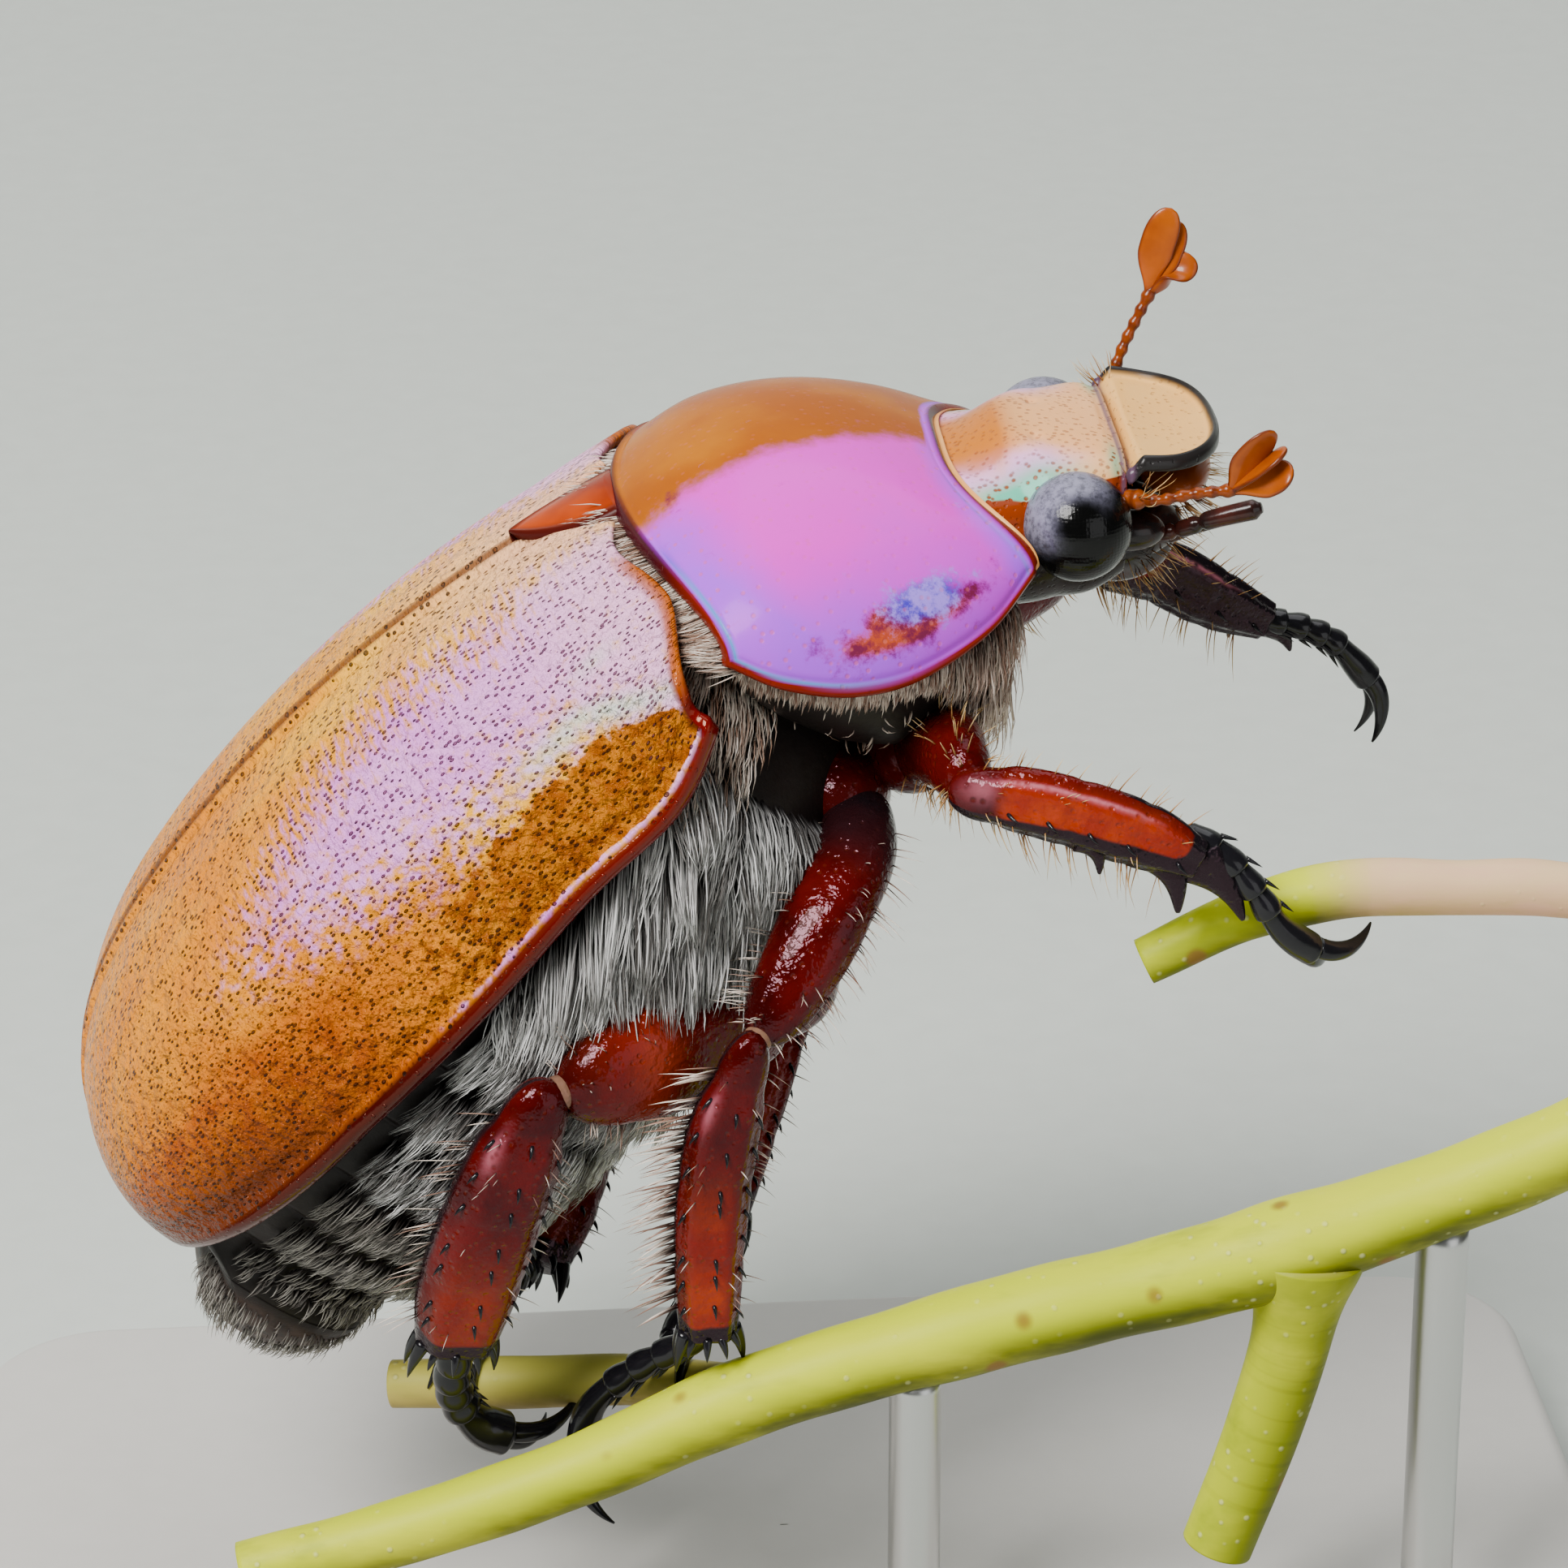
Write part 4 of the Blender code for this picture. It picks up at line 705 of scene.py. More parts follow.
def hair(
    name,
    material,
    roots,
    outs,
    lies,
    lengths,
    places,
    width=0.022,
    rise=0.40,
    tufts=0,
    draw=0.5,
    lift=0.12,
    spread=0.10,
    seed=1,
    steps=4,
):
    """Three-sided tapered hairs: each leaves along the skin's outward direction and bends over to its lie.

    The curve is (1 - s)^2 root + 2 s (1 - s) middle + s^2 tip. The tips of a tuft are drawn together.
    places holds each root's place on an unwrap of the skin, and its hair's UV patch is 0.003 across.
    """
    rng = np.random.default_rng(seed)
    n = len(roots)
    outs = unit(outs)
    lies = unit(unit(lies) + rng.normal(0, spread, (n, 3)))
    lengths = (np.broadcast_to(lengths, n) * rng.uniform(0.72, 1.12, n))[:, None]
    tips = roots + lies * lengths + outs * lengths * rng.uniform(0, 2, (n, 1)) * lift
    tint = rng.uniform(0, 1, n)
    if tufts:
        leaders = rng.choice(n, min(tufts, n), replace=False)
        parts = np.array_split(roots, max(1, n // 400))
        near = np.concatenate([np.argmin(((p[:, None] - roots[leaders]) ** 2).sum(-1), 1) for p in parts])
        tips = tips + (tips[leaders][near] - tips) * (rng.uniform(0.35, 1.0, (n, 1)) * draw)
        tint = 0.5 * tint + 0.5 * rng.uniform(0, 1, len(leaders))[near]
    middles = roots + outs * lengths * rise + lies * lengths * 0.38
    s = np.linspace(0, 1, steps + 1)[None, :, None]
    sunk = roots - outs * 0.06
    curve = (1 - s) ** 2 * sunk[:, None] + 2 * s * (1 - s) * middles[:, None] + s**2 * tips[:, None]
    along = unit(np.gradient(curve, axis=1))
    side = unit(np.cross(along, outs[:, None]))
    over = np.cross(side, along)
    taper = 1 - 0.82 * np.linspace(0, 1, steps + 1)[None, :] ** 1.4
    radius = (width * rng.uniform(0.75, 1.2, (n, 1))) * taper
    angle = np.radians([90, 210, 330])[:, None]
    offset = np.cos(angle) * side[:, :-1, None] + np.sin(angle) * over[:, :-1, None]
    rings = curve[:, :-1, None] + radius[:, :-1, None, None] * offset
    points = np.concatenate([rings.reshape(n, -1, 3), curve[:, -1:]], 1)
    each, last = 3 * steps + 1, 3 * (steps - 1)
    first = (np.arange(n) * each)[:, None, None]
    quads = (grid_quads(steps, 3, around=True)[None] + first).reshape(-1, 4)
    tip = each - 1
    ends = [[last, last + 1, tip], [last + 1, last + 2, tip], [last + 2, last, tip], [2, 1, 0]]
    triangles = (np.array(ends)[None] + first).reshape(-1, 3)
    reach = np.append(np.repeat(np.arange(steps) / steps, 3), 1.0)
    turn_share = np.append(np.tile([0.0, 0.5, 1.0], steps), 0.5)
    patch = np.stack([turn_share, reach], 1) * 0.003
    maps = {"OFBake": np.asarray(places, float)[:, None] + patch[None]}
    fields = {"Along": np.tile(reach, n), "Tint": np.repeat(tint, each)}
    piece = build(name, points, quads, material, maps, fields, triangles)
    return piece


# Every hair is dark at its root, as painted shade deep in the coat, and pale from its middle on,
# and some hairs are dimmer.
HAIR_INPUTS = {"Along": "Float", "Tint": "Float", "Root shade": "Color", "Pale": "Color", "Dim": "Color"}
hair_shade = Paint("hair shade", HAIR_INPUTS)
along, tint, root, pale, dim = hair_shade.inputs
shaded = along.step(0.05, 0.62).between(root, tint.step(0.15, 0.85).between(dim, pale))
hair_shade.set(hair_shade.tree.nodes.new("NodeGroupOutput").inputs["Colour"], shaded)


def hair_paint(name, root, pale, dim):
    """A hair material: the shared shading with three colours of its own."""
    paint = Paint(name)
    values = dict(zip(HAIR_INPUTS, (paint.field("Along"), paint.field("Tint"), root, pale, dim)))
    colour = paint.add("ShaderNodeGroup", values, "Colour", node_tree=hair_shade.tree)
    return paint.finish(Base_Color=colour, Roughness=0.42)


silver = hair_paint("silver hair", (0.008, 0.006, 0.006), (0.84, 0.83, 0.82), (0.12, 0.108, 0.10))
cream = hair_paint("cream hair", (0.030, 0.010, 0.008), (0.94, 0.80, 0.68), (0.30, 0.15, 0.10))
sooty = hair_paint("grey-brown hair", (0.03, 0.022, 0.018), (0.40, 0.37, 0.33), (0.10, 0.085, 0.075))
downy = hair_paint("neck hair", (0.035, 0.010, 0.006), (0.90, 0.80, 0.70), (0.34, 0.19, 0.125))
golden = hair_paint("golden bristles", (0.30, 0.12, 0.03), (0.80, 0.56, 0.26), (0.50, 0.25, 0.07))


def tangent(flow, outs, press=0.92):
    """The part of a flow direction that lies along the skin."""
    flow = np.broadcast_to(np.asarray(flow, float), outs.shape)
    return unit(flow - press * (flow * outs).sum(-1, keepdims=True) * outs)


def trunk_hair(name, material, side, count, backs, turns, flow, length, seed, **options):
    """Hair over a stretch of the trunk on one side. flow and length may be functions of back and turn."""
    rng = np.random.default_rng(seed)
    back, turn = rng.uniform(*backs, count), rng.uniform(*turns, count)
    flip = np.array([1, side, 1])
    points, guess = trunk(back, turn)
    outs = unit(np.cross(trunk(back + 0.05, turn)[0] - points, trunk(back, turn + 1)[0] - points))
    outs = outs * np.sign((outs * guess).sum(1, keepdims=True))
    lie = tangent(flow(back, turn) if callable(flow) else flow, outs)
    long = length(back, turn) if callable(length) else length
    places = np.stack([(back + 1.5) / 21, ((turn if side > 0 else 180 - turn) % 360) / 360], 1)
    return hair(name, material, points * flip, outs * flip, lie * flip, long, places, seed=seed, **options)


def flank_flow(back, turn):
    """Flank hair falls nearly straight down, and further back it also streams to the rear."""
    rear = ramp(back, 4.5, 8.5)
    return np.stack([-0.12 - 0.75 * rear, 0 * back, -1 + 0.35 * rear], -1)


def flank_length(back, turn):
    """Longest over the middle of the thorax, and shorter under the belly."""
    return (1.8 + 0.6 * bell(back, 4.5, 2)) * (0.30 + 0.70 * ramp(turn, -80, -45))


# Hair length, number of hairs and colour on each of the six belly plates, and the flank's share
# of hairs on the far side.
BELLY = (
    (1.25, 1650, silver),
    (1.2, 1500, silver),
    (1.05, 1250, silver),
    (0.85, 700, sooty),
    (0.7, 480, sooty),
    (0.6, 340, sooty),
)
for side, tag, many in ((RIGHT, "right", 1.0), (LEFT, "left", 0.8)):
    count = int(7000 * many)
    loose = {"tufts": 190, "draw": 0.92, "lift": 0.24, "width": 0.028}
    area = (0.9, 7.4), (-84, -3)
    name, seed = "coat_flank_" + tag, 31 + side
    trunk_hair(name, silver, side, count, *area, flank_flow, flank_length, seed, **loose)
    count = int(1500 * many)
    loose = {"tufts": 200, "draw": 0.7, "lift": 0.2, "steps": 3}
    area = (-0.6, 1.6), (-16, 40)
    name, seed = "coat_shoulder_" + tag, 41 + side
    trunk_hair(name, downy, side, count, *area, (-0.55, 0, -1.0), 1.15, seed, **loose)
    loose = {"tufts": 70, "draw": 0.8, "width": 0.023, "lift": 0.2, "steps": 3}
    for k, (shorter, thick, shade) in enumerate(BELLY):
        backs = PLATES[k], PLATES[k] + 0.55 * (PLATES[k + 1] - PLATES[k])
        name, seed = f"coat_belly_{tag}_{k + 1}", 51 + side + 4 * k

        def belly_length(back, turn):
            """The plate's own length, down to a third of it under the belly."""
            return shorter * (0.35 + 0.65 * ramp(turn, -85, -50))

        count = int(thick * many)
        area = backs, (-84, -6)
        trunk_hair(name, shade, side, count, *area, (-0.85, 0, -0.62), belly_length, seed, **loose)
    count = int(650 * many)
    loose = {"width": 0.018, "lift": 0.3, "steps": 3}
    area = (16.75, 18.2), (-90, 55)
    name, seed = "coat_tail_" + tag, 91 + side
    trunk_hair(name, sooty, side, count, *area, (-0.5, 0, -1.0), 0.5, seed, **loose)

# The thorax's front face, under the neck shield's hind corner, carries brownish hair that streams down.
for side, tag in SIDES:
    rng = np.random.default_rng(110 + side)
    count = 1500
    turn = rng.uniform(-14, 40, count)
    rim_place, _ = trunk(-0.9, turn)
    middle_place = trunk(-0.9, np.array([-180.0, 0.0, 90.0, -90.0]))[0].mean(0)
    reach = rng.uniform(0.55, 1.0, count) ** 0.5
    points = middle_place + (rim_place - middle_place) * reach[:, None]
    flip = np.array([1, side, 1])
    outs = np.broadcast_to(unit(body_forward + np.array([0, 0.7, 0])), points.shape)
    flow = np.broadcast_to(unit([-0.35, 0.10, -1]), points.shape)
    places = np.stack([rng.uniform(0, 0.06, count), (turn % 360) / 360], 1)
    loose = {"rise": 0.25, "tufts": 160, "draw": 0.65, "lift": 0.15, "seed": 111 + side, "steps": 3}
    hair("coat_front_" + tag, cream, points * flip, outs * flip, flow * flip, 1.3, places, **loose)

# Pale hair under the edge of the neck shield: a short fringe behind, long and loose by the front hips.
for side, tag in SIDES:
    rng = np.random.default_rng(120 + side)
    count = 3600
    share = rng.uniform(0.06, 0.95, count)
    ahead_part = ramp(share, 0.36, 0.14)
    at_edge = rng.uniform(0, 1, count) < 0.52
    turn = np.radians(np.where(at_edge, rng.uniform(-8, -2, count), rng.uniform(-80, -14, count)))
    keep = (np.degrees(turn) > -9) | (rng.uniform(0, 1, count) < 0.04 + 0.80 * ahead_part)
    share, turn, ahead_part = share[keep], turn[keep], ahead_part[keep]
    points = shield_points(share, turn, BREAST_INSET)
    ahead = shield_points(share + 0.01, turn, BREAST_INSET) - points
    outs = unit(np.cross(ahead, shield_points(share, turn + 0.02, BREAST_INSET) - points))
    outs = outs * np.sign((outs * (points - [1, 0, 25])).sum(1, keepdims=True))
    flip = np.array([1, side, 1])
    flow = tangent((-0.20, 0.25, -1.0), outs)
    places = np.stack([share, (turn * (1 if side > 0 else -1) / (2 * math.pi)) % 1], 1)
    long = (0.30 + 0.86 * ahead_part) * rng.uniform(0.55, 1.5, len(share))
    loose = {"tufts": 260, "draw": 0.6, "lift": 0.30, "seed": 130 + side, "steps": 3}
    hair("coat_breast_" + tag, cream, points * flip, outs * flip, flow * flip, long, places, **loose)

# A short cream fringe stands behind the hind edge of the neck shield.
rng = np.random.default_rng(150)
count = 3600
turn = rng.uniform(0, math.pi, count)
points = shield_points(np.full(count, 1.0), turn, 0.42)
behind = unit(points - shield_points(np.full(count, 0.96), turn, 0.42))
points = points - behind * rng.uniform(0.0, 0.5, count)[:, None] - np.array([0, 0, 0.1])
outs = unit(points - [-1.0, 0, 24.5])
flow = unit(behind + np.array([-0.15, 0, -0.30]) + 0.45 * outs * bell(turn, math.pi / 2, 0.5)[:, None])
places = np.stack([rng.uniform(0.1, 0.9, count), turn / math.pi * 0.9], 1)
long = 0.90 + 0.10 * bell(turn, math.pi / 2, 0.4)
loose = {"rise": 0.30, "tufts": 330, "draw": 0.5, "lift": 0.25, "spread": 0.16, "width": 0.024, "steps": 3}
hair("coat_fringe", downy, points, outs, flow, long, places, seed=151, **loose)


# ---- scutellum -------------------------------------------------------------------------------
# The small three-cornered plate that locks the wing cases at their base. It is hard skin, polished
# orange with a dark edge, and its front is tucked under the neck shield.

paint = Paint("scutellum shell")
cloud = paint.noise(500)
orange = mottled(cloud, 0.35, 0.65, (0.22, 0.016, 0.0), (0.40, 0.044, 0.0))
scutellum_material = paint.finish(
    Base_Color=paint.field("edge").between(orange, (0.060, 0.006, 0.004)),
    Roughness=0.25,
    Specular_IOR_Level=0.07,
    Coat_Weight=0.02,
    Coat_Roughness=0.1,
    Normal=paint.bump(cloud, 0.00003, 0.4),
)
back, a = np.meshgrid(np.linspace(-1.1, 0.95, 50), np.linspace(-1, 1, 40), indexing="ij")
half = 1.15 * (1 - np.clip((back + 0.9) / 1.85, 0, 1) ** 1.7) ** 0.8 + 0.02
top = 3.42 + 0.42 * back - 0.25 * a**2 * half
edge = np.clip(1 - (1 - np.abs(a)) * half / 0.45, 0, 1)
outer = on_body(back, half * a, top + 0.05 * bell(edge, 0.8, 0.2))
inner = on_body(back, half * a * 0.96, top - 0.45)
points, quads, where = slab(outer, inner, 0.3)
fields = {"edge": ramp(edge, 0.15, 0.9)[where[:, 0], where[:, 1]]}
piece = build("scutellum.shell", points, quads, scutellum_material, fields=fields)
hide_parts("scutellum")


# ---- head ------------------------------------------------------------------------------------
# Hard skin, gold at the back, peach on top and mint by the eyes, with red-brown cheeks and fine
# punctures. A strip of neck skin joins it to the shield, and a rimmed face plate lies in front.

# Rows from the neck: x, y and z of the middle, half width, then height above and below it.
HEAD = np.array(
    [
        (2.8, 0, 27.1, 3.45, 1.35, 1.9),
        (4.0, 0, 27.1, 3.50, 1.52, 2.0),
        (5.0, 0, 27.1, 3.30, 1.52, 2.0),
        (5.9, 0, 27.2, 2.95, 1.38, 1.9),
        (6.75, 0, 27.3, 2.6, 1.22, 1.5),
    ]
)
head_line = smooth(HEAD, 200)


def head_points(x, angle, grow=0.0):
    """Points round the head at a distance forward and an angle, 90 degrees at the top.

    The superellipse gets fuller to the front, and the back of the head is sunk under the shield.
    """
    x, angle = np.broadcast_arrays(x, angle)
    z, half, up, down = (np.interp(x, head_line[:, 0], head_line[:, k]) for k in (2, 3, 4, 5))
    c, s = rounded(angle, 2.7 + 2.2 * ramp(x, 5.3, 6.7))
    grow = grow - 0.50 * ramp(x - 3.10 - 1.62 * c**2, 1.5, 0.1) * ramp(s, -0.3, 0.2)
    return np.stack([x, (half + grow) * c, z + np.where(s > 0, up + grow, down + grow) * s], -1)


paint = Paint("head shell")
gold, mint, lilac, cheek = paint.fields("gold mint lilac cheek")
cloud = paint.noise(420, 4)
dots = paint.cells(6500)
dot = dots.step(0.40, 0.20)
colour = cloud.between((0.86, 0.37, 0.11), (0.92, 0.47, 0.20))
colour = (gold * cloud.step(0.10, 0.40, 0.6, 1.0)).between(colour, (0.56, 0.160, 0.0))
colour = (lilac * cloud.step(0.25, 0.6)).between(colour, (0.86, 0.40, 0.80))
colour = (mint * cloud.step(0.2, 0.5, 0.6, 1.0)).between(colour, (0.10, 0.50, 0.34))
colour = (dot * mint.step(0.0, 0.8, 0.20, 0.95)).between(colour, (0.26, 0.07, 0.01))
dotted_cheek = (cheek + dots.step(0.5, 0.1) * 0.5).step(0.25, 0.75)
cheek_colour = mottled(paint.field("under"), 0.0, 1.0, (0.23, 0.028, 0.0), (0.012, 0.006, 0.006))
colour = dotted_cheek.between(colour, cheek_colour)
head_material = paint.finish(
    Base_Color=paint.field("seam").between(colour, (0.10, 0.05, 0.09)),
    Roughness=0.26,
    Specular_IOR_Level=0.15,
    Coat_Weight=0.06,
    Coat_Roughness=0.12,
    Normal=paint.bump(cloud * 0.6 - dot * 0.6, 0.00006, 0.6),
)
round_it = np.linspace(0, 2 * math.pi, 180, endpoint=False)
x, angle = np.meshgrid(np.linspace(2.8, 6.75, 90), round_it, indexing="ij")
ring = head_points(x, angle)
above = np.sin(angle)
on_top = above > 0
far_out = np.abs(ring[..., 1] / 3.5)
ahead = ring[..., 0]
swell = 0.05 * (bell(ahead, 6.3, 0.35) * bell(far_out, 0.62, 0.12) - bell(ahead, 6.62, 0.10)) * on_top
for pock_x, pock_y in ((5.05, -1.15), (5.2, 0.9)):
    swell = swell - 0.10 * bell(np.hypot(ahead - pock_x, ring[..., 1] - pock_y), 0, 0.13) * on_top
ring = ring + swell[..., None] * unit(ring - ring.mean(1, keepdims=True))
ahead = ring[..., 0]
eye_mint = 1.25 * bell(far_out, 0.745, 0.14) * bell(ahead, 4.6, 1.1) * ramp(above, 0.42, 0.58)
fields = {
    "gold": np.clip(2.0 * bell(ahead, 3.75, 0.70) * ramp(far_out, 0.56, 0.40) * on_top, 0, 1),
    "lilac": np.clip(1.2 * bell(far_out, 0.56, 0.14) * ramp(ahead, 6.4, 4.9) * on_top, 0, 1),
    "mint": eye_mint + 0.7 * bell(ahead, 6.55, 0.16) * bell(far_out, 0.62, 0.2) * on_top,
    "cheek": np.clip(ramp(above - 0.10 * ramp(ahead, 5.0, 4.2), 0.52, 0.40), 0, 1),
    "seam": bell(ahead, 6.68, 0.05) * on_top,
    "under": ramp(above, 0.12, -0.10),
}
middles = ring.mean(1, keepdims=True)
caps = [middles[k] + (ring[k] - middles[k]) * 0.01 for k in (slice(0, 1), slice(-1, None))]
ring = np.concatenate([caps[0], ring, caps[1]])
fields = {key: np.concatenate([v[:1], v, v[-1:]]) for key, v in fields.items()}
quads = grid_quads(92, 180, around=True)
piece = build("head.shell", ring, quads, head_material, fields=fields)
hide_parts("head")

# A strip of soft pale-orange skin joins the head to the neck shield; on the real beetle it folds when the head
# turns.
paint = Paint("neck skin")
fold = paint.noise(900)
pale_skin = fold.between((0.72, 0.24, 0.02), (0.86, 0.42, 0.12))
neck_material = paint.finish(
    Base_Color=paint.field("border").between(pale_skin, (0.05, 0.012, 0.010)),
    Roughness=0.45,
    Coat_Weight=0.2,
    Normal=paint.bump(fold, 0.00005, 0.5),
)
angle = np.linspace(0.02, math.pi - 0.02, 150)
start = shield_points(np.zeros(150), angle, 0.16) + [0.04, 0, 0]
end = head_points(start[:, 0] + 0.30, angle, 0.04)
end = start + (end - start) * np.minimum(1, 0.14 / np.linalg.norm(end - start, axis=1))[:, None]
t = np.linspace(0, 1, 12)[:, None, None]
strip = start * (1 - t) + end * t + np.array([0.06, 0, 0.06]) * np.sin(math.pi * t)
inner = strip - unit(strip - [3.5, 0, 26.5]) * 0.25
points, quads, where = slab(strip, inner, 0.1, 3)
border = np.clip(0.6 * ramp(where[:, 0], 9.8, 10.6) + ramp(where[:, 0], 0.9, 0.3), 0, 1)
piece = build("neck.skin", points, quads, neck_material, fields={"border": border})

# The face plate in front of the head is peach with a raised black rim.
FACE_LENGTH, FACE_HALF_WIDTH = 2.14, 2.75
paint = Paint("face plate")
cloud = paint.noise(500, 4)
dot = 1.0 - paint.cells(5600).step(0.10, 0.28)
colour = cloud.between((0.84, 0.40, 0.08), (0.92, 0.53, 0.16))
colour = (dot * 0.25).between(colour, (0.40, 0.14, 0.04))
colour = paint.field("rim").between(colour, (0.016, 0.014, 0.014))
face_material = paint.finish(
    Base_Color=paint.field("seam").between(colour, (0.10, 0.05, 0.09)),
    Roughness=0.28,
    Specular_IOR_Level=0.20,
    Coat_Weight=0.10,
    Coat_Roughness=0.12,
    Normal=paint.bump(cloud - dot, 0.00005, 0.6),
)
ahead = 1 - (1 - np.linspace(0, 0.9985, 90)) ** 1.6
share, a = np.meshgrid(ahead, np.linspace(-1, 1, 120), indexing="ij")
y = FACE_HALF_WIDTH * (1 - share**2.5) ** (1 / 2.5) * a
x = 6.78 + FACE_LENGTH * share
edge = 2.3 * (1 - (np.abs(y / FACE_HALF_WIDTH) ** 2.5 + share**2.5) ** 0.4)
top = 28.46 + 0.10 * (y / FACE_HALF_WIDTH) ** 2 - 0.10 * bell(share, 0.5, 0.4)
top = top + 0.16 * bell(edge, 0.10, 0.10) - 0.30 * ramp(share, 0.15, 0.0)
outer, inner = np.stack([x, y, top], -1), np.stack([x, y * 0.98, top - 0.24], -1)
points, quads, where = slab(outer, inner, 0.3)
i, j = where[:, 0], where[:, 1]
under = points[:, 2] < top[i, j] - 0.12
fields = {"rim": np.clip(ramp(edge[i, j], 0.25, 0.15) + under, 0, 1), "seam": bell(share[i, j], 0.02, 0.03)}
piece = build("clypeus.plate", points, quads, face_material, fields=fields)
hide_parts("clypeus")


# ---- eyes ------------------------------------------------------------------------------------
# Two round eyes of thousands of fine clear facets, set into the sides of the head. They are nearly
# black and glossy; the cloudy grey over the upper part is a painted reflection.


def ball(centre, radii, rows=48, columns=64, swell=None):
    """An egg shape from its middle and three radii; swell adds to it along its radius."""
    around = np.linspace(0, 2 * math.pi, columns, endpoint=False)
    v, u = np.meshgrid(np.linspace(0.001, math.pi - 0.001, rows), around, indexing="ij")
    out = np.stack([np.sin(v) * np.cos(u), np.sin(v) * np.sin(u), np.cos(v)], -1)
    size = 1.0 if swell is None else 1 + swell(out)[..., None]
    points = np.asarray(centre) + out * np.asarray(radii) * size
    return points.reshape(-1, 3), grid_quads(rows, columns, around=True)


EYE_RADIUS = 1.12
paint = Paint("eye")
# Painted reflection: a cloudy grey over the upper part of each eye, less where it faces straight out.
sheen = paint.field("sheen") * paint.noise(7000, 4, 0.7).step(0.32, 0.62, 0.40, 1.0)
eye_material = paint.finish(
    Base_Color=sheen.between((0.002, 0.002, 0.002), (0.235, 0.228, 0.32)),
    Roughness=sheen * 0.25 + 0.14,
    Specular_IOR_Level=0.18,
    Coat_Weight=0.10,
    Coat_Roughness=0.08,
    Normal=paint.bump(paint.cells(14000, 0.25), 0.00002, 0.25),
)
for side, tag in SIDES:
    middle = np.array([5.72, side * 2.78, 27.22])
    points, quads = ball(middle, (EYE_RADIUS,) * 3, 90, 120)
    out = unit(points - middle)
    # Where the painted reflection lies: the upper back of the ball, with a dark spot where it faces out.
    reflected_side = ramp(out @ unit([-0.60, side * 0.10, 0.79]), 0.08, 0.86)
    dark_spot = ramp(out @ unit([-0.02, side * 0.92, 0.38]), 0.955, 0.74)
    fields = {"sheen": reflected_side * dark_spot}
    piece = build(f"eye_{tag}.globe", points, quads, eye_material, fields=fields)
    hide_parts("eye_" + tag)


# ---- mouth, palps and feelers ----------------------------------------------------------------
# Parts of hard skin jointed to the front of the head: an amber upper lip, dark jaws, dark-red
# palps, and feelers that end in three thin amber leaves. Golden bristles stand round them.


def tube(path, wide, thick, flat, sides=24, fullness=2.0):
    """Rings round a path: half widths along flat, half thicknesses across it. Ends close on their middles.

    Gives points, quads, the share along and the share round of each point.
    """
    path = np.asarray(path, float)
    along = unit(np.gradient(path, axis=0))
    flat = np.broadcast_to(np.asarray(flat, float), path.shape)
    across = unit(flat - (flat * along).sum(1, keepdims=True) * along)
    other = np.cross(along, across)
    c, s = rounded(np.linspace(0, 2 * math.pi, sides, endpoint=False), fullness)
    wide, thick = (np.broadcast_to(v, len(path))[:, None] for v in (wide, thick))
    rings = path[:, None] + (wide * c)[..., None] * across[:, None]
    rings = rings + (thick * s)[..., None] * other[:, None]
    start = path[:1, None] + (rings[:1] - path[:1, None]) * 1e-3
    end = path[-1:, None] + (rings[-1:] - path[-1:, None]) * 1e-3
    rings = np.concatenate([start, rings, end])
    share = np.concatenate([[0], np.linspace(0, 1, len(path)), [1]])
    along_share, round_share = np.repeat(share, sides), np.tile(np.arange(sides) / sides, len(rings))
    return rings.reshape(-1, 3), grid_quads(len(rings), sides, around=True), along_share, round_share


def joined(parts):
    """Several (points, quads, fields...) pieces as one set of arrays."""
    points, quads, fields, first = [], [], [], 0
    for part in parts:
        points.append(part[0])
        quads.append(part[1] + first)
        fields.append(part[2:])
        first += len(part[0])
    return np.concatenate(points), np.concatenate(quads), [np.concatenate(f) for f in zip(*fields)]


paint = Paint("amber horn")
cloud = paint.noise(900, 4)
horn = mottled(cloud, 0.3, 0.7, (0.26, 0.045, 0.0), (0.42, 0.085, 0.0))
amber_horn = paint.finish(
    Base_Color=paint.field("dark").between(horn, (0.08, 0.010, 0.002)),
    Roughness=0.28,
    Specular_IOR_Level=0.28,
    Coat_Weight=0.12,
    Normal=paint.bump(cloud, 0.00003, 0.5),
)
paint = Paint("dark horn")
cloud = paint.noise(1200, 4)
dark_horn = paint.finish(
    Base_Color=mottled(cloud, 0.35, 0.7, (0.012, 0.008, 0.008), (0.060, 0.014, 0.010)),
    Roughness=0.22,
    Specular_IOR_Level=0.28,
    Coat_Weight=0.12,
    Coat_Roughness=0.1,
    Normal=paint.bump(cloud, 0.00004, 0.5),
)


def notch(out):
    """A dent by a bell curve across the front of the lip."""
    return -0.10 * bell(out[..., 1], 0, 0.16) * (out[..., 0] > 0)


points, quads = ball((8.0, 0, 27.62), (0.80, 1.95, 0.60), 60, 90, notch)
fields = {"dark": ramp(points[:, 2], 27.2, 26.8)}
piece = build("labrum.lip", points, quads, amber_horn, fields=fields)
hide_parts("labrum")

mouth = [ball((6.75, 0, 26.1), (1.35, 1.75, 0.95), 60, 80, lambda out: 0.05 * np.sin(out[..., 1] * 9))]
for side, _ in SIDES:
    jaw_middle, jaw_size = (7.25, side * 0.95, 26.5), (0.88, 0.75, 0.62)
    mouth.append(ball(jaw_middle, jaw_size, 50, 60, lambda out: 0.04 * np.sin(out[..., 0] * 7)))
    mouth.append(ball((6.9, side * 1.9, 26.75), (0.75, 0.5, 0.42), 40, 50))
points, quads, _ = joined(mouth)
piece = build("mouthparts.jaws", points, quads, dark_horn)
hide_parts("mouthparts")

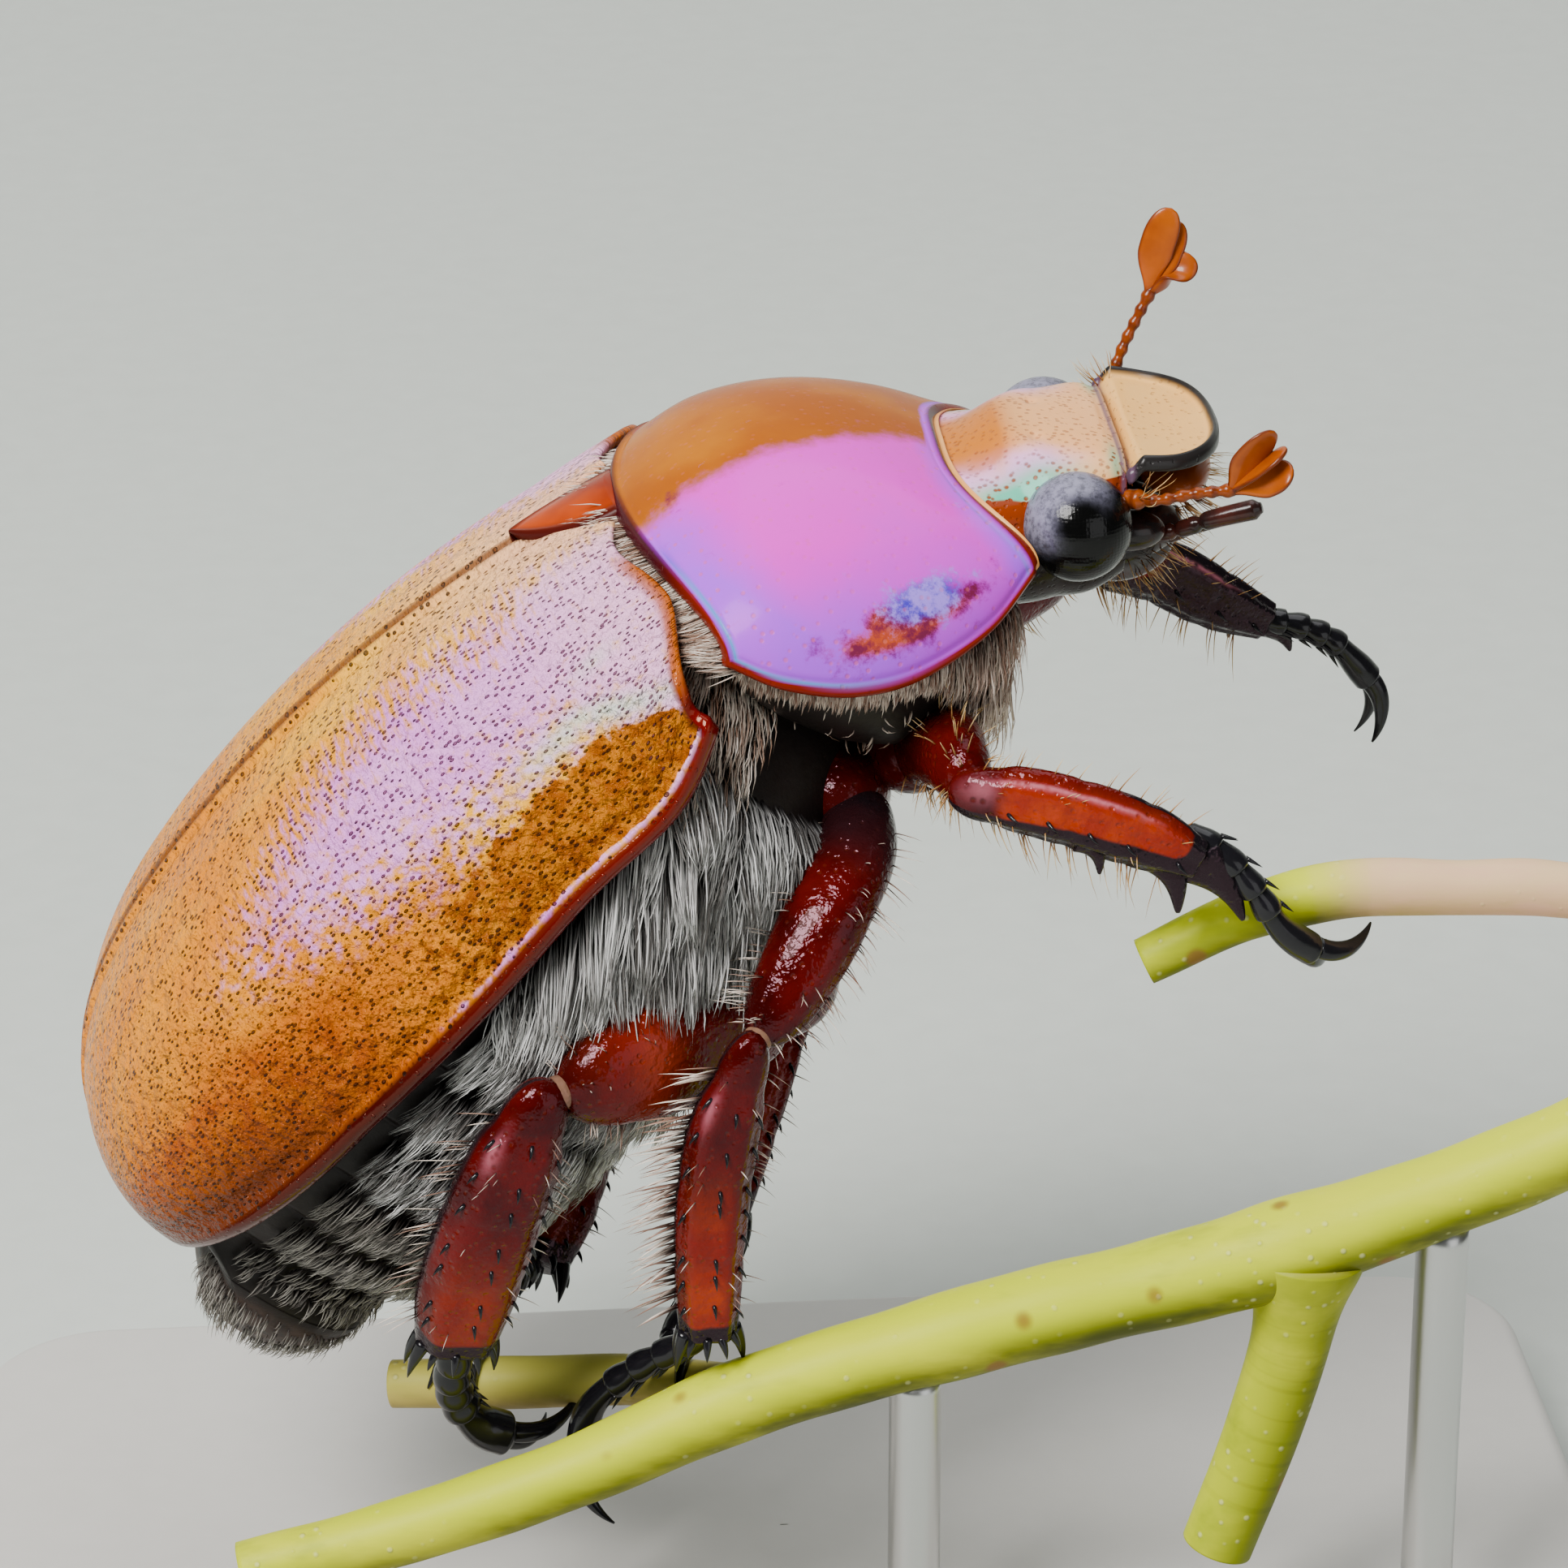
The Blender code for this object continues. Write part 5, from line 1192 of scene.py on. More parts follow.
PALPS = {
    "left": ((7.5, 1.45, 26.35), (8.0, 1.8, 26.25), (8.5, 2.1, 26.1), (9.1, 2.4, 26.0)),
    "right": ((7.5, -1.45, 26.45), (8.0, -1.8, 26.7), (8.55, -2.1, 27.0), (9.55, -2.4, 27.35)),
}
for tag in ("right", "left"):
    path = smooth(PALPS[tag], 50)
    t = np.linspace(0, 1, 50)
    joints = 1 - 0.35 * (bell(t, 0.22, 0.03) + bell(t, 0.46, 0.03))
    width = (0.17 + 0.05 * t) * joints * (1 - ramp(t, 0.93, 1.0) * 0.5)
    second = path[:34] * [1, 0.72, 1] + [-0.15, 0, -0.35]
    parts = [tube(path, width, width, (0, 0, 1), 20)]
    parts.append(tube(second, width[:34] * 0.8, width[:34] * 0.8, (0, 0, 1), 16))
    points, quads, _ = joined(parts)
    piece = build(f"palp_{tag}.joints", points, quads, dark_horn)
    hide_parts("palp_" + tag)

# Each feeler: its stalk, and the tips of its three leaves.
FEELERS = {
    "right": (
        ((6.75, -2.55, 27.70), (7.35, -2.95, 27.80), (8.04, -3.05, 27.95), (8.85, -3.15, 28.05)),
        ((9.60, -3.3, 29.35), (9.85, -3.4, 29.0), (9.98, -3.5, 28.58)),
    ),
    "left": (
        ((7.05, 2.75, 28.05), (7.45, 3.05, 29.0), (7.75, 3.15, 29.6), (8.0, 3.2, 30.1)),
        ((8.42, 3.35, 31.85), (8.60, 3.6, 31.5), (8.82, 3.3, 30.85)),
    ),
}
for tag in ("right", "left"):
    stations, leaves = FEELERS[tag]
    path = smooth(stations, 90)
    t = np.linspace(0, 1, 90)
    width = 0.115 + 0.018 * np.cos(t * 2 * math.pi * 7.5)
    width = width + 0.10 * bell(t, 0.08, 0.10) + 0.03 * bell(t, 1, 0.1)
    stalk = tube(path, width, width, (0, 0, 1), 24)
    parts = [(*stalk[:2], 0.45 + 0.35 * bell(np.cos(stalk[2] * 2 * math.pi * 5.5), -1, 0.4))]
    s = np.linspace(0, 1, 60)
    round_end = (1 - np.clip((s - 0.62) / 0.38, 0, 1) ** 2.4) ** 0.5
    wide = 0.36 * round_end * (0.30 + 0.70 * ramp(s, 0, 0.5)) + 0.015
    thin = 0.065 * (1 - np.clip((s - 0.8) / 0.2, 0, 1) ** 2) ** 0.5 + 0.02
    for k, tip in enumerate(leaves):
        line = path[-3] + (np.array(tip) - path[-3]) * s[:, None]
        line = line + np.array([0.10, 0, 0.0]) * np.sin(math.pi * s)[:, None] * (k - 1)
        leaf = tube(line, wide, thin, (0.75, 0, 0.66), 36, 2.4)
        edge = np.abs(np.cos(leaf[3] * 2 * math.pi))
        parts.append((*leaf[:2], 0.75 * ramp(edge, 0.80, 0.97) + 0.6 * ramp(leaf[2], 0.12, 0.0)))
    points, quads, (dark_field,) = joined(parts)
    fields = {"dark": np.clip(dark_field, 0, 1)}
    piece = build(f"antenna_{tag}.club", points, quads, amber_horn, fields=fields)
    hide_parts("antenna_" + tag)

# Golden bristles round the mouth and at the feelers' roots.
rng = np.random.default_rng(200)
roots, outs, lies = [], [], []
for centre, radii, flow, count in (
    ((7.95, 0, 27.30), (0.74, 1.75, 0.62), (1, 0, -0.5), 220),
    ((6.9, 0, 26.2), (1.30, 1.75, 0.9), (0.8, 0, -0.8), 260),
    ((6.95, -2.6, 27.75), (0.3, 0.3, 0.3), (0.3, -0.6, 1.0), 30),
    ((7.05, 2.7, 28.1), (0.3, 0.3, 0.3), (-0.6, 0.4, 1.0), 40),
):
    out = unit(rng.normal(0, 1, (count, 3)))
    out = out[out @ unit(flow) > 0.1]
    roots.append(np.array(centre) + out * radii)
    outs.append(out)
    lies.append(unit(out * 0.5 + unit(flow)))
roots, outs, lies = np.concatenate(roots), np.concatenate(outs), np.concatenate(lies)
places = np.stack([(roots[:, 1] + 4) / 8, (roots[:, 2] - 24) / 8], 1)
hair("coat_mouth", golden, roots, outs, lies, 0.62, places, width=0.016, lift=0.2, spread=0.22, seed=201)


# ---- legs ------------------------------------------------------------------------------------
# Six legs of polished mahogany skin, hung on egg-shaped hips under the body: thick thighs, ridged
# shins with rows of dark spines and a crown of black spurs, then black five-jointed feet with two
# hooked claws each.

# Each leg: the hip, the lines of thigh, shin and foot, and the way that the claws curl.
LEGS = {
    "front_right": (
        (2.4, -2.45, 22.4),
        ((2.4, -2.6, 22.4), (2.75, -3.7, 22.9), (3.0, -4.9, 23.2), (3.15, -5.9, 23.1)),
        ((3.09, -6.3, 23.01), (4.52, -6.70, 22.87), (5.64, -6.90, 22.56),
         (6.78, -7.00, 22.12), (7.69, -7.00, 21.63)),
        ((7.57, -6.60, 22.08), (8.21, -6.80, 21.70), (8.88, -6.95, 20.91),
         (9.48, -6.90, 19.99), (10.22, -6.60, 19.32)),
        (0.3, 1, 0.6),
    ),
    "front_left": (
        (2.4, 2.45, 22.4),
        ((2.5, 2.7, 22.4), (3.8, 3.4, 22.6), (5.1, 4.2, 22.9), (6.4, 5.0, 23.1)),
        ((6.7, 5.1, 23.25), (7.6, 5.3, 23.2), (8.56, 5.6, 22.84),
         (10.04, 5.8, 21.94), (11.17, 6.0, 21.33)),
        ((11.1, 6.0, 21.4), (12.08, 6.05, 21.11), (12.7, 6.1, 20.75),
         (13.2, 6.2, 20.2), (13.6, 6.3, 19.7)),
        (-0.2, 0, -1),
    ),
    "middle_right": (
        (0.9, -2.5, 21.5),
        ((1.2, -3.0, 21.5), (1.1, -4.3, 20.9), (0.4, -5.40, 20.0), (-0.95, -6.55, 18.0)),
        ((-1.28, -6.90, 17.80), (-1.85, -6.80, 15.76), (-2.10, -6.60, 13.42),
         (-2.12, -6.35, 12.0), (-2.11, -6.20, 10.95)),
        ((-2.14, -5.95, 10.75), (-2.79, -5.40, 10.09), (-3.70, -4.95, 9.31),
         (-4.50, -4.75, 8.40), (-4.75, -4.75, 7.35)),
        (1, -0.3, -0.3),
    ),
    "middle_left": (
        (0.9, 2.5, 21.5),
        ((1.2, 2.6, 21.4), (1.3, 3.3, 19.8), (1.2, 3.6, 18.2), (1.0, 3.6, 16.6)),
        ((0.95, 3.5, 16.2), (0.3, 2.7, 14.6), (-0.4, 1.5, 12.9), (-1.0, 0.4, 11.5), (-1.4, -0.4, 10.6)),
        ((-1.5, -0.7, 10.4), (-1.9, -1.6, 10.0), (-2.2, -2.5, 9.75),
         (-2.45, -3.3, 9.6), (-2.65, -4.0, 9.45)),
        (-0.4, -0.3, -1),
    ),
    "hind_right": (
        (-0.6, -2.9, 17.4),
        ((-0.5, -3.4, 17.0), (-1.8, -4.6, 17.1), (-3.3, -5.70, 17.1), (-4.88, -6.6, 16.8)),
        ((-5.47, -6.90, 16.90), (-6.15, -6.80, 15.21), (-6.75, -6.45, 13.4),
         (-7.1, -6.1, 12.0), (-7.33, -5.80, 10.77)),
        ((-7.30, -5.60, 10.45), (-7.42, -5.15, 9.5), (-7.25, -4.75, 8.65),
         (-6.8, -4.5, 7.95), (-6.2, -4.35, 7.6)),
        (0.6, 0.8, 0.2),
    ),
    "hind_left": (
        (-0.6, 2.9, 17.4),
        ((-0.5, 3.4, 17.0), (-1.5, 4.4, 15.8), (-2.4, 5.2, 14.4), (-3.3, 5.7, 12.9)),
        ((-3.6, 5.6, 12.5), (-4.0, 4.7, 11.4), (-4.5, 3.7, 10.2), (-5.0, 2.6, 9.1), (-5.4, 1.8, 8.4)),
        ((-5.5, 1.5, 8.5), (-5.9, 0.6, 8.75), (-6.3, -0.4, 9.0), (-6.6, -1.3, 9.1), (-6.9, -2.2, 9.05)),
        (-0.3, -0.4, -1),
    ),
}
# Half widths and half thicknesses of thigh and shin, toe sizes and claw length, the way of the
# broad side, and the hip's radii.
LEG_SIZES = {
    "front": (
        ((0.80, 0.66), (0.86, 0.72), (0.84, 0.70), (0.62, 0.55)),
        ((0.60, 0.46), (0.70, 0.46), (0.72, 0.42), (0.66, 0.38), (0.42, 0.30)),
        (0.34, 0.40, 1.25),
        (0, 0, 1),
        (1.05, 1.2, 1.0),
    ),
    "middle": (
        ((0.72, 0.62), (0.88, 0.72), (0.94, 0.72), (0.68, 0.56)),
        ((0.50, 0.46), (0.72, 0.52), (0.72, 0.54), (0.66, 0.54), (0.58, 0.50)),
        (0.36, 0.40, 1.35),
        (1, 0, 0.3),
        (1.1, 1.35, 1.1),
    ),
    "hind": (
        ((0.95, 0.75), (1.36, 0.90), (1.38, 0.92), (0.86, 0.70)),
        ((0.66, 0.52), (0.96, 0.70), (1.06, 0.76), (1.04, 0.74), (0.84, 0.66)),
        (0.46, 0.56, 1.5),
        (0.9, 0, 0.45),
        (1.5, 1.7, 1.2),
    ),
}
# Roots and tips of the three teeth on each front shin.
FRONT_TEETH = {
    "right": (
        ((5.30, -6.95, 22.25), (5.72, -7.0, 21.42)),
        ((6.86, -6.98, 21.95), (7.33, -7.0, 20.50)),
        ((7.60, -7.0, 21.70), (8.66, -7.0, 20.28)),
    ),
    "left": (
        ((8.60, 5.65, 22.5), (8.95, 5.9, 21.85)),
        ((10.0, 5.85, 21.7), (10.35, 6.1, 20.95)),
        ((11.0, 6.0, 21.3), (11.75, 6.15, 20.55)),
    ),
}

paint = Paint("leg shell")
black, glow, pale, sheen = paint.fields("black glow pale sheen")
cloud, pores = paint.noise(700, 4), paint.cells(4600)
pore = 1.0 - pores.step(0.10, 0.32)
colour = mottled(cloud, 0.30, 0.70, (0.026, 0.0004, 0.0002), (0.088, 0.0016, 0.0003))
colour = glow.between(colour, mottled(cloud, 0.35, 0.65, (0.40, 0.034, 0.0), (0.24, 0.011, 0.0)))
colour = (pore * 0.16).between(colour, (0.20, 0.03, 0.01))
colour = (black + cloud * 0.30).step(0.5, 0.8).between(colour, (0.008, 0.006, 0.008))
# Painted highlight: pink-lilac patches on the shins, broken up by the pores.
colour = (sheen * pores.step(0.05, 0.50, 0.10, 1.0)).between(colour, (0.60, 0.18, 0.24))
colour = pale.between(colour, mottled(cloud, 0.35, 0.65, (0.20, 0.105, 0.065), (0.07, 0.026, 0.018)))
leg_material = paint.finish(
    Base_Color=colour,
    Roughness=0.11,
    Specular_IOR_Level=0.26,
    Specular_Tint=(1.0, 0.52, 0.66),
    Coat_Weight=0.10,
    Coat_IOR=1.4,
    Coat_Roughness=0.04,
    Normal=paint.bump(pore * -0.4 + paint.noise(5200, 2), 0.00006, 0.7),
)
paint = Paint("black foot")
cloud = paint.noise(1300, 4)
foot_material = paint.finish(
    Base_Color=cloud.between((0.003, 0.003, 0.004), (0.010, 0.009, 0.012)),
    Roughness=0.20,
    Specular_IOR_Level=0.30,
    Coat_Weight=0.12,
    Coat_Roughness=0.10,
    Normal=paint.bump(cloud, 0.00004, 0.5),
)


def thorn(base, tip, radius, bend=(0, 0, 0), count=12, sides=12):
    """A pointed spine from base to tip, bowed sideways by bend."""
    s = np.linspace(0, 1, count)[:, None]
    path = np.asarray(base) + (np.asarray(tip) - base) * s + np.asarray(bend) * np.sin(math.pi * s)
    width = radius * (1 - s[:, 0] ** 1.5 * 0.93)
    away = unit(np.cross(path[-1] - path[0], (0.31, 0.77, 0.55)))
    return tube(path, width, width, away, sides)


def thigh_and_hip(name, hip, thigh, thigh_size, hip_size, broad, knee_place):
    """The hip as an egg, then the thigh: a tube that swells along its middle and ends in a rounded knee."""
    pair = name.split("_")[0]
    points, quads = ball(hip, hip_size, 50, 70)
    none = np.zeros(len(points))
    fields = {"black": none + 0.4, "glow": none, "pale": none, "sheen": none}
    piece = build(f"coxa_{name}.shell", points, quads, leg_material, fields=fields)
    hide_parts("coxa_" + name)

    line = smooth(np.hstack([thigh, np.array(thigh_size) * (0.95 if pair == "middle" else 1.0)]), 80)
    t = np.linspace(0, 1, 80)
    shrink = np.sqrt(1 - np.clip((t - 0.84) / 0.16, 0, 1) ** 2 * 0.90)
    shrink = shrink * (1 - np.clip((0.10 - t) / 0.10, 0, 1) ** 2 * 0.5)
    path = line[:, :3] + unit(line[-1, :3] - line[-2, :3]) * 0.30 * ramp(t, 0.8, 1.0)[:, None]
    points, quads, along, turn = tube(path, line[:, 3] * shrink, line[:, 4] * shrink, broad, 72, 2.2)
    ridge = 0.05 * bell(np.minimum(turn, 1 - turn), 0, 0.03) * bell(along, 0.7, 0.25)
    points = points + unit(points - path[np.clip((along * 79).astype(int), 0, 79)]) * ridge[:, None]
    glow = 0.50 * bell(along, 0.72, 0.14) * (pair == "hind")
    # Darker toward the hip and at the knee; the middle thighs are darker all over as painted shade under the body.
    dark = 0.36 * ramp(along, 0.65, 0.2) + 0.30 * ramp(along, 0.93, 0.98) + 0.20 * (pair == "middle")
    thigh_ring = points[72:-72].reshape(80, 72, 3)

    knee_size = (0.38, 0.36, 0.38) if pair == "hind" else (0.31, 0.31, 0.31)
    knee_points, knee_quads = ball(knee_place, knee_size, 24, 32)
    nothing = np.zeros(len(knee_points))
    knee = (knee_points, knee_quads, nothing, nothing, nothing + 1)
    points, quads, (dark, glow, pale) = joined([(points, quads, dark, glow, 0 * along), knee])
    fields = {"black": dark, "glow": glow, "pale": pale, "sheen": 0 * pale}
    piece = build(f"femur_{name}.shell", points, quads, leg_material, fields=fields)
    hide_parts("femur_" + name)
    return thigh_ring, path


def shin_fields(name, along, turn):
    """Where the shin is black, glows orange and carries a painted pink highlight: black at its end, its edges and a
    lower band.
    """
    pair = name.split("_")[0]
    edge_on = np.minimum(turn, 1 - turn)
    if pair == "front":
        low = ramp(np.abs(turn - 0.5), 0.22 + 0.06 * along, 0.15 + 0.05 * along)
        edges = 0.7 * ramp(edge_on, 0.05, 0.02) * ramp(along, 0.45, 0.7)
        black = 0.95 * low + edges + ramp(along, 0.88, 0.97)
        glow = 1.1 * bell(turn, 0.215, 0.125) * ramp(along, 0.11, 0.22)
        # Painted highlight: a narrow pink streak along the top and a patch by the knee.
        sheen = 0.60 * bell(turn, 0.125, 0.020) * ramp(along, 0.08, 0.18) * ramp(along, 0.85, 0.6)
        sheen = sheen + 0.40 * bell(along, 0.09, 0.045) * bell(turn, 0.18, 0.07)
    else:
        black = ramp(along, 0.90, 0.98) + 0.60 * bell(turn, 0.5, 0.06) + 0.45 * ramp(edge_on, 0.09, 0.02)
        strength, start = (0.85, 0.25) if pair == "middle" else (0.60, 0.40)
        glow = strength * ramp(along, start, 0.8) * bell(turn, 0.26, 0.13)
        # Painted highlight: a small pink patch near the upper end.
        sheen = 0.45 * bell(turn, 0.37, 0.035) * bell(along, 0.20, 0.06)
    black, glow, sheen = (np.clip(v, 0, 1) for v in (black, glow, sheen))
    # Painted shade: the far front shin is darker and less orange than the near one.
    if name == "front_left":
        black, glow = np.clip(black + 0.75 * ramp(along, 0.20, 0.50), 0, 1), glow * 0.4
    return black, glow, sheen


def shin_and_spines(name, shin, shin_size, broad, rng):
    """The shin: a ridged tube with teeth on the front pair, dark spines in rows and spurs round its end."""
    pair, side = name.split("_")
    front = pair == "front"
    line = smooth(np.hstack([shin, shin_size]), 100)
    t = np.linspace(0, 1, 100)
    knee = (0.78 + 0.22 * ramp(t, 0.0, 0.14)) * np.sqrt(1 - np.clip((0.07 - t) / 0.07, 0, 1) ** 2 * 0.93)
    knee = knee * (1 - 0.10 * bell(t, 0.13, 0.04))
    reach = unit(line[0, :3] - line[3, :3]) * 0.35
    path = line[:, :3] + reach * ramp(t, 0.12, 0.0)[:, None]
    points, quads, along, turn = tube(path, line[:, 3] * knee, line[:, 4] * knee, broad, 84, 2.3)
    ridge = 0.035 * np.cos(turn * 2 * math.pi * 6) * ramp(along, 0.05, 0.2)
    ridge = ridge - 0.03 * bell(along, 0.45, 0.03) - 0.03 * bell(along, 0.72, 0.03)
    points = points + unit(points - path[np.clip((along * 99).astype(int), 0, 99)]) * ridge[:, None]
    shin_ring = points[84:-84].reshape(100, 84, 3)
    parts = [(points, quads, *shin_fields(name, along, turn))]
    ahead = unit(path[-1] - path[-4])
    wide_way = unit(np.asarray(broad, float) - np.dot(broad, ahead) * ahead)
    thin_way = np.cross(ahead, wide_way)
    spines = []
    if front:
        s = np.linspace(0, 1, 40)
        for root, tip in FRONT_TEETH[side]:
            root = np.asarray(root) + [-0.05, 0, 0.05]
            way = root + (np.asarray(tip) - root) * s[:, None]
            way = way + np.array([0.16, 0, 0.05]) * np.sin(math.pi * s)[:, None]
            wide = (0.05 + 0.36 * (1 - s) ** 0.8 + 0.24 * (1 - s) ** 3) * (0.15 + 0.85 * ramp(s, 0.0, 0.16))
            wide = wide * min(1, np.linalg.norm(np.asarray(tip) - root) / 1.5)
            points, quads, share, _ = tube(way, wide, 0.05 + 0.20 * (1 - s) ** 0.8, (1, 0, -0.35), 36)
            parts.append((points, quads, 1 + 0 * share, 0 * share, 0 * share))
        start = path[-3] + wide_way * 0.25
        spines.append(thorn(start, start + ahead * 0.9 - thin_way * 0.2, 0.12, thin_way * 0.05))
    else:
        for k, turn_at in enumerate(np.linspace(0, 2 * math.pi, 11, endpoint=False)):
            way = wide_way * math.cos(turn_at) * line[-1, 3] + thin_way * math.sin(turn_at) * line[-1, 4]
            start = path[-2] + way * 0.88
            long, radius = (0.95, 0.17) if k in (0, 5, 6) else (0.42, 0.10)
            tip = start + ahead * long + unit(way) * 0.22
            spines.append(thorn(start, tip, radius, unit(way) * 0.04))
    points, quads, (black, glow, sheen) = joined(parts)
    fields = {"black": black, "glow": glow, "pale": 0 * black, "sheen": sheen}
    piece = build(f"tibia_{name}.shell", points, quads, leg_material, fields=fields)
    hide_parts("tibia_" + name)

    count = 5 if front else 7
    for column in (24, 60) if front else (6, 20, 34, 50, 64, 78):
        for row in (np.linspace(18, 88, count) + rng.uniform(-4, 4, count)).astype(int):
            base = shin_ring[row, column]
            out = unit(base - path[row])
            along_way = unit(path[min(row + 3, 99)] - path[row])
            tip = base + out * 0.16 + along_way * 0.26
            spines.append(thorn(base - out * 0.03, tip, 0.050, out * 0.03, 6, 7))
    points, quads, _ = joined([(s[0], s[1]) for s in spines])
    piece = build(f"spines_{name}", points, quads, foot_material)
    return shin_ring, path


def foot_and_claws(name, foot, toe_start, toe_end, claw, curl):
    """Five joints, each widening to its far end, the last one long and carrying two hooked claws."""
    path = smooth(foot, 101)
    breaks = np.array([0.0, 0.17, 0.33, 0.48, 0.62, 1.0])
    parts = []
    for k in range(5):
        first, last = int(breaks[k] * 100), int(breaks[k + 1] * 100)
        at = np.clip(np.arange(first - 2, last + 1), 0, 100)
        s = np.linspace(0, 1, len(at))
        size = (toe_start + (toe_end - toe_start) * breaks[k]) * (1.0 if k < 4 else 1.05)
        grow = 0.70 + 0.25 * ramp(s, 0.0, 0.75) - 0.30 * ramp(s, 0.90, 1.0)
        line = path[at] + np.linspace(0, 1e-4, len(at))[:, None]
        parts.append(tube(line, size * grow, size * grow * 0.88, (0, 1, 0.2), 30))
        way = unit(path[last] - path[max(last - 6, 0)])
        across = unit(np.cross(way, curl))
        bow = unit(np.asarray(curl, float) - np.dot(curl, way) * way)
        if k < 4:
            for spread in (-0.8, -0.3, 0.3, 0.8):
                out = unit(across * spread + bow * 0.5)
                base = path[last] - way * 0.10 + out * size * 0.80
                parts.append(thorn(base, base + way * 0.34 + out * 0.12, 0.05, count=6, sides=7))
    s = np.linspace(0, 1, 34)[:, None]
    width = 0.24 * (1 - s[:, 0] ** 1.6 * 0.90)
    for k, bigger in ((1, 1.0), (-1, 0.86)):
        reach = claw * bigger
        line = path[-3] + across * 0.16 * k + way * reach * 0.95 * np.sin(s * 1.35)
        line = line + bow * reach * 0.92 * (1 - np.cos(s * 1.45)) + across * 0.36 * k * s
        parts.append(tube(line, width, width * 0.72, bow, 20))
    points, quads, _ = joined([(p[0], p[1]) for p in parts])
    piece = build(f"tarsus_{name}.joints", points, quads, foot_material)
    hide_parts("tarsus_" + name)


def bristles(name, thigh_ring, thigh_path, shin_ring, shin_path, rng):
    """Pale bristles: a comb along both edges of the thigh and rows along the shin."""
    pair = name.split("_")[0]
    roots, outs, flows, sizes, widths = [], [], [], [], []
    comb = (120, 1.15, 0.026) if pair == "middle" else (34, 0.90, 0.017)
    for ring, line, columns, rows_used, (many, reach, wide) in (
        (thigh_ring, thigh_path, (0, 36), (15, 74), (34, 0.80, 0.019)),
        (thigh_ring, thigh_path, (10, 28, 46, 62), (10, 70), (10, 0.60, 0.016)),
        (shin_ring, shin_path, (42,), (8, 90), comb),
        (shin_ring, shin_path, (0,), (8, 90), (20, 0.55, 0.017)),
        (thigh_ring, thigh_path, (6, 20, 30, 44, 58), (70, 78), (5, 0.42, 0.020)),
        (shin_ring, shin_path, (14, 28, 56, 70), (10, 88), (8, 0.40, 0.015)),
    ):
        for column in columns:
            row = rng.integers(*rows_used, many)
            base = ring[row, (column + rng.integers(-2, 3, many)) % ring.shape[1]]
            out = unit(base - line[row])
            ahead = unit(line[np.minimum(row + 4, len(line) - 1)] - line[row])
            roots.append(base)
            outs.append(out)
            flows.append(unit(out + ahead * 0.55))
            sizes.append(np.full(many, reach) * rng.uniform(0.6, 1.1, many))
            widths.append(np.full(many, wide))
    roots, outs, flows, sizes, widths = (np.concatenate(v) for v in (roots, outs, flows, sizes, widths))
    places = np.stack([rng.uniform(0, 1, len(roots)), rng.uniform(0, 1, len(roots))], 1)
    loose = {"width": widths[:, None], "rise": 0.15, "lift": 0.1, "spread": 0.12, "steps": 3}
    shade = golden if pair == "front" else cream
    hair("bristles_" + name, shade, roots, outs, flows, sizes, places, seed=400 + len(name), **loose)


for number, (name, (hip, thigh, shin, foot, curl)) in enumerate(LEGS.items()):
    pair = name.split("_")[0]
    thigh_size, shin_size, toes, broad, hip_size = LEG_SIZES[pair]
    rng = np.random.default_rng(300 + number)
    thigh_broad = (0, 0, 1) if pair == "hind" else broad
    knee_place = (np.array(thigh[-1]) + np.array(shin[0])) / 2
    thigh_lines = thigh_and_hip(name, hip, thigh, thigh_size, hip_size, thigh_broad, knee_place)
    shin_lines = shin_and_spines(name, shin, shin_size, broad, rng)
    foot_and_claws(name, foot, *toes, curl)
    bristles(name, *thigh_lines, *shin_lines, rng)


# ---- twig ------------------------------------------------------------------------------------
# A yellow-green forked stem with pale speckles and small brown scars, cut square at its ends. The
# stalk at the front is pinkish and cream.

# Places along each middle line, with the radius there.
TWIGS = {
    "perch_stem": (
        (-11.9, -6.3, 5.70, 0.66),
        (-8.49, -6.3, 6.55, 0.70),
        (-5.07, -6.3, 7.71, 0.76),
        (-1.67, -6.3, 9.23, 0.83),
        (3.41, -6.3, 10.75, 0.92),
        (9.50, -6.3, 12.24, 0.97),
        (15.74, -6.3, 14.52, 0.86),
        (18.30, -6.3, 15.75, 0.84),
    ),
    "perch_side_shoot": (
        (10.3, -6.3, 12.3, 0.95),
        (10.1, -6.3, 10.3, 0.82),
        (9.6, -6.3, 8.2, 0.78),
        (8.67, -6.3, 5.3, 0.76),
    ),
    "perch_front_twig": (
        (18.2, -6.2, 16.2, 0.50),
        (17.9, -6.1, 18.3, 0.52),
        (16.9, -5.9, 19.7, 0.55),
        (15.2, -5.7, 20.10, 0.57),
        (13.4, -5.6, 20.15, 0.58),
        (10.7, -5.5, 20.13, 0.60),
        (9.05, -5.5, 19.71, 0.54),
        (6.9, -5.5, 18.70, 0.50),
    ),
    "perch_rear_twig": (
        (-0.9, -6.1, 9.3, 0.58),
        (-1.90, -4.8, 8.74, 0.58),
        (-3.36, -3.5, 8.31, 0.56),
        (-5.75, -3.0, 8.09, 0.56),
        (-8.6, -2.2, 7.74, 0.52),
    ),
}
paint = Paint("twig bark")
above = paint.field("above")
lengthwise = paint.stretch(paint.place, (0.35, 1, 1))
streak, mottle = paint.noise(500, 5, 0.6, lengthwise), paint.noise(330, 5, 0.65, lengthwise)
# Painted shade: the green bark is dark underneath and light on top.
green = mottled(above, 0.15, 0.9, (0.060, 0.070, 0.0), (0.56, 0.63, 0.0))
green = streak.step(0.40, 0.75, 0.0, 0.6).between(green, (0.66, 0.66, 0.03))
green = mottle.step(0.54, 0.70, 0.0, 0.55).between(green, (0.20, 0.27, 0.0))
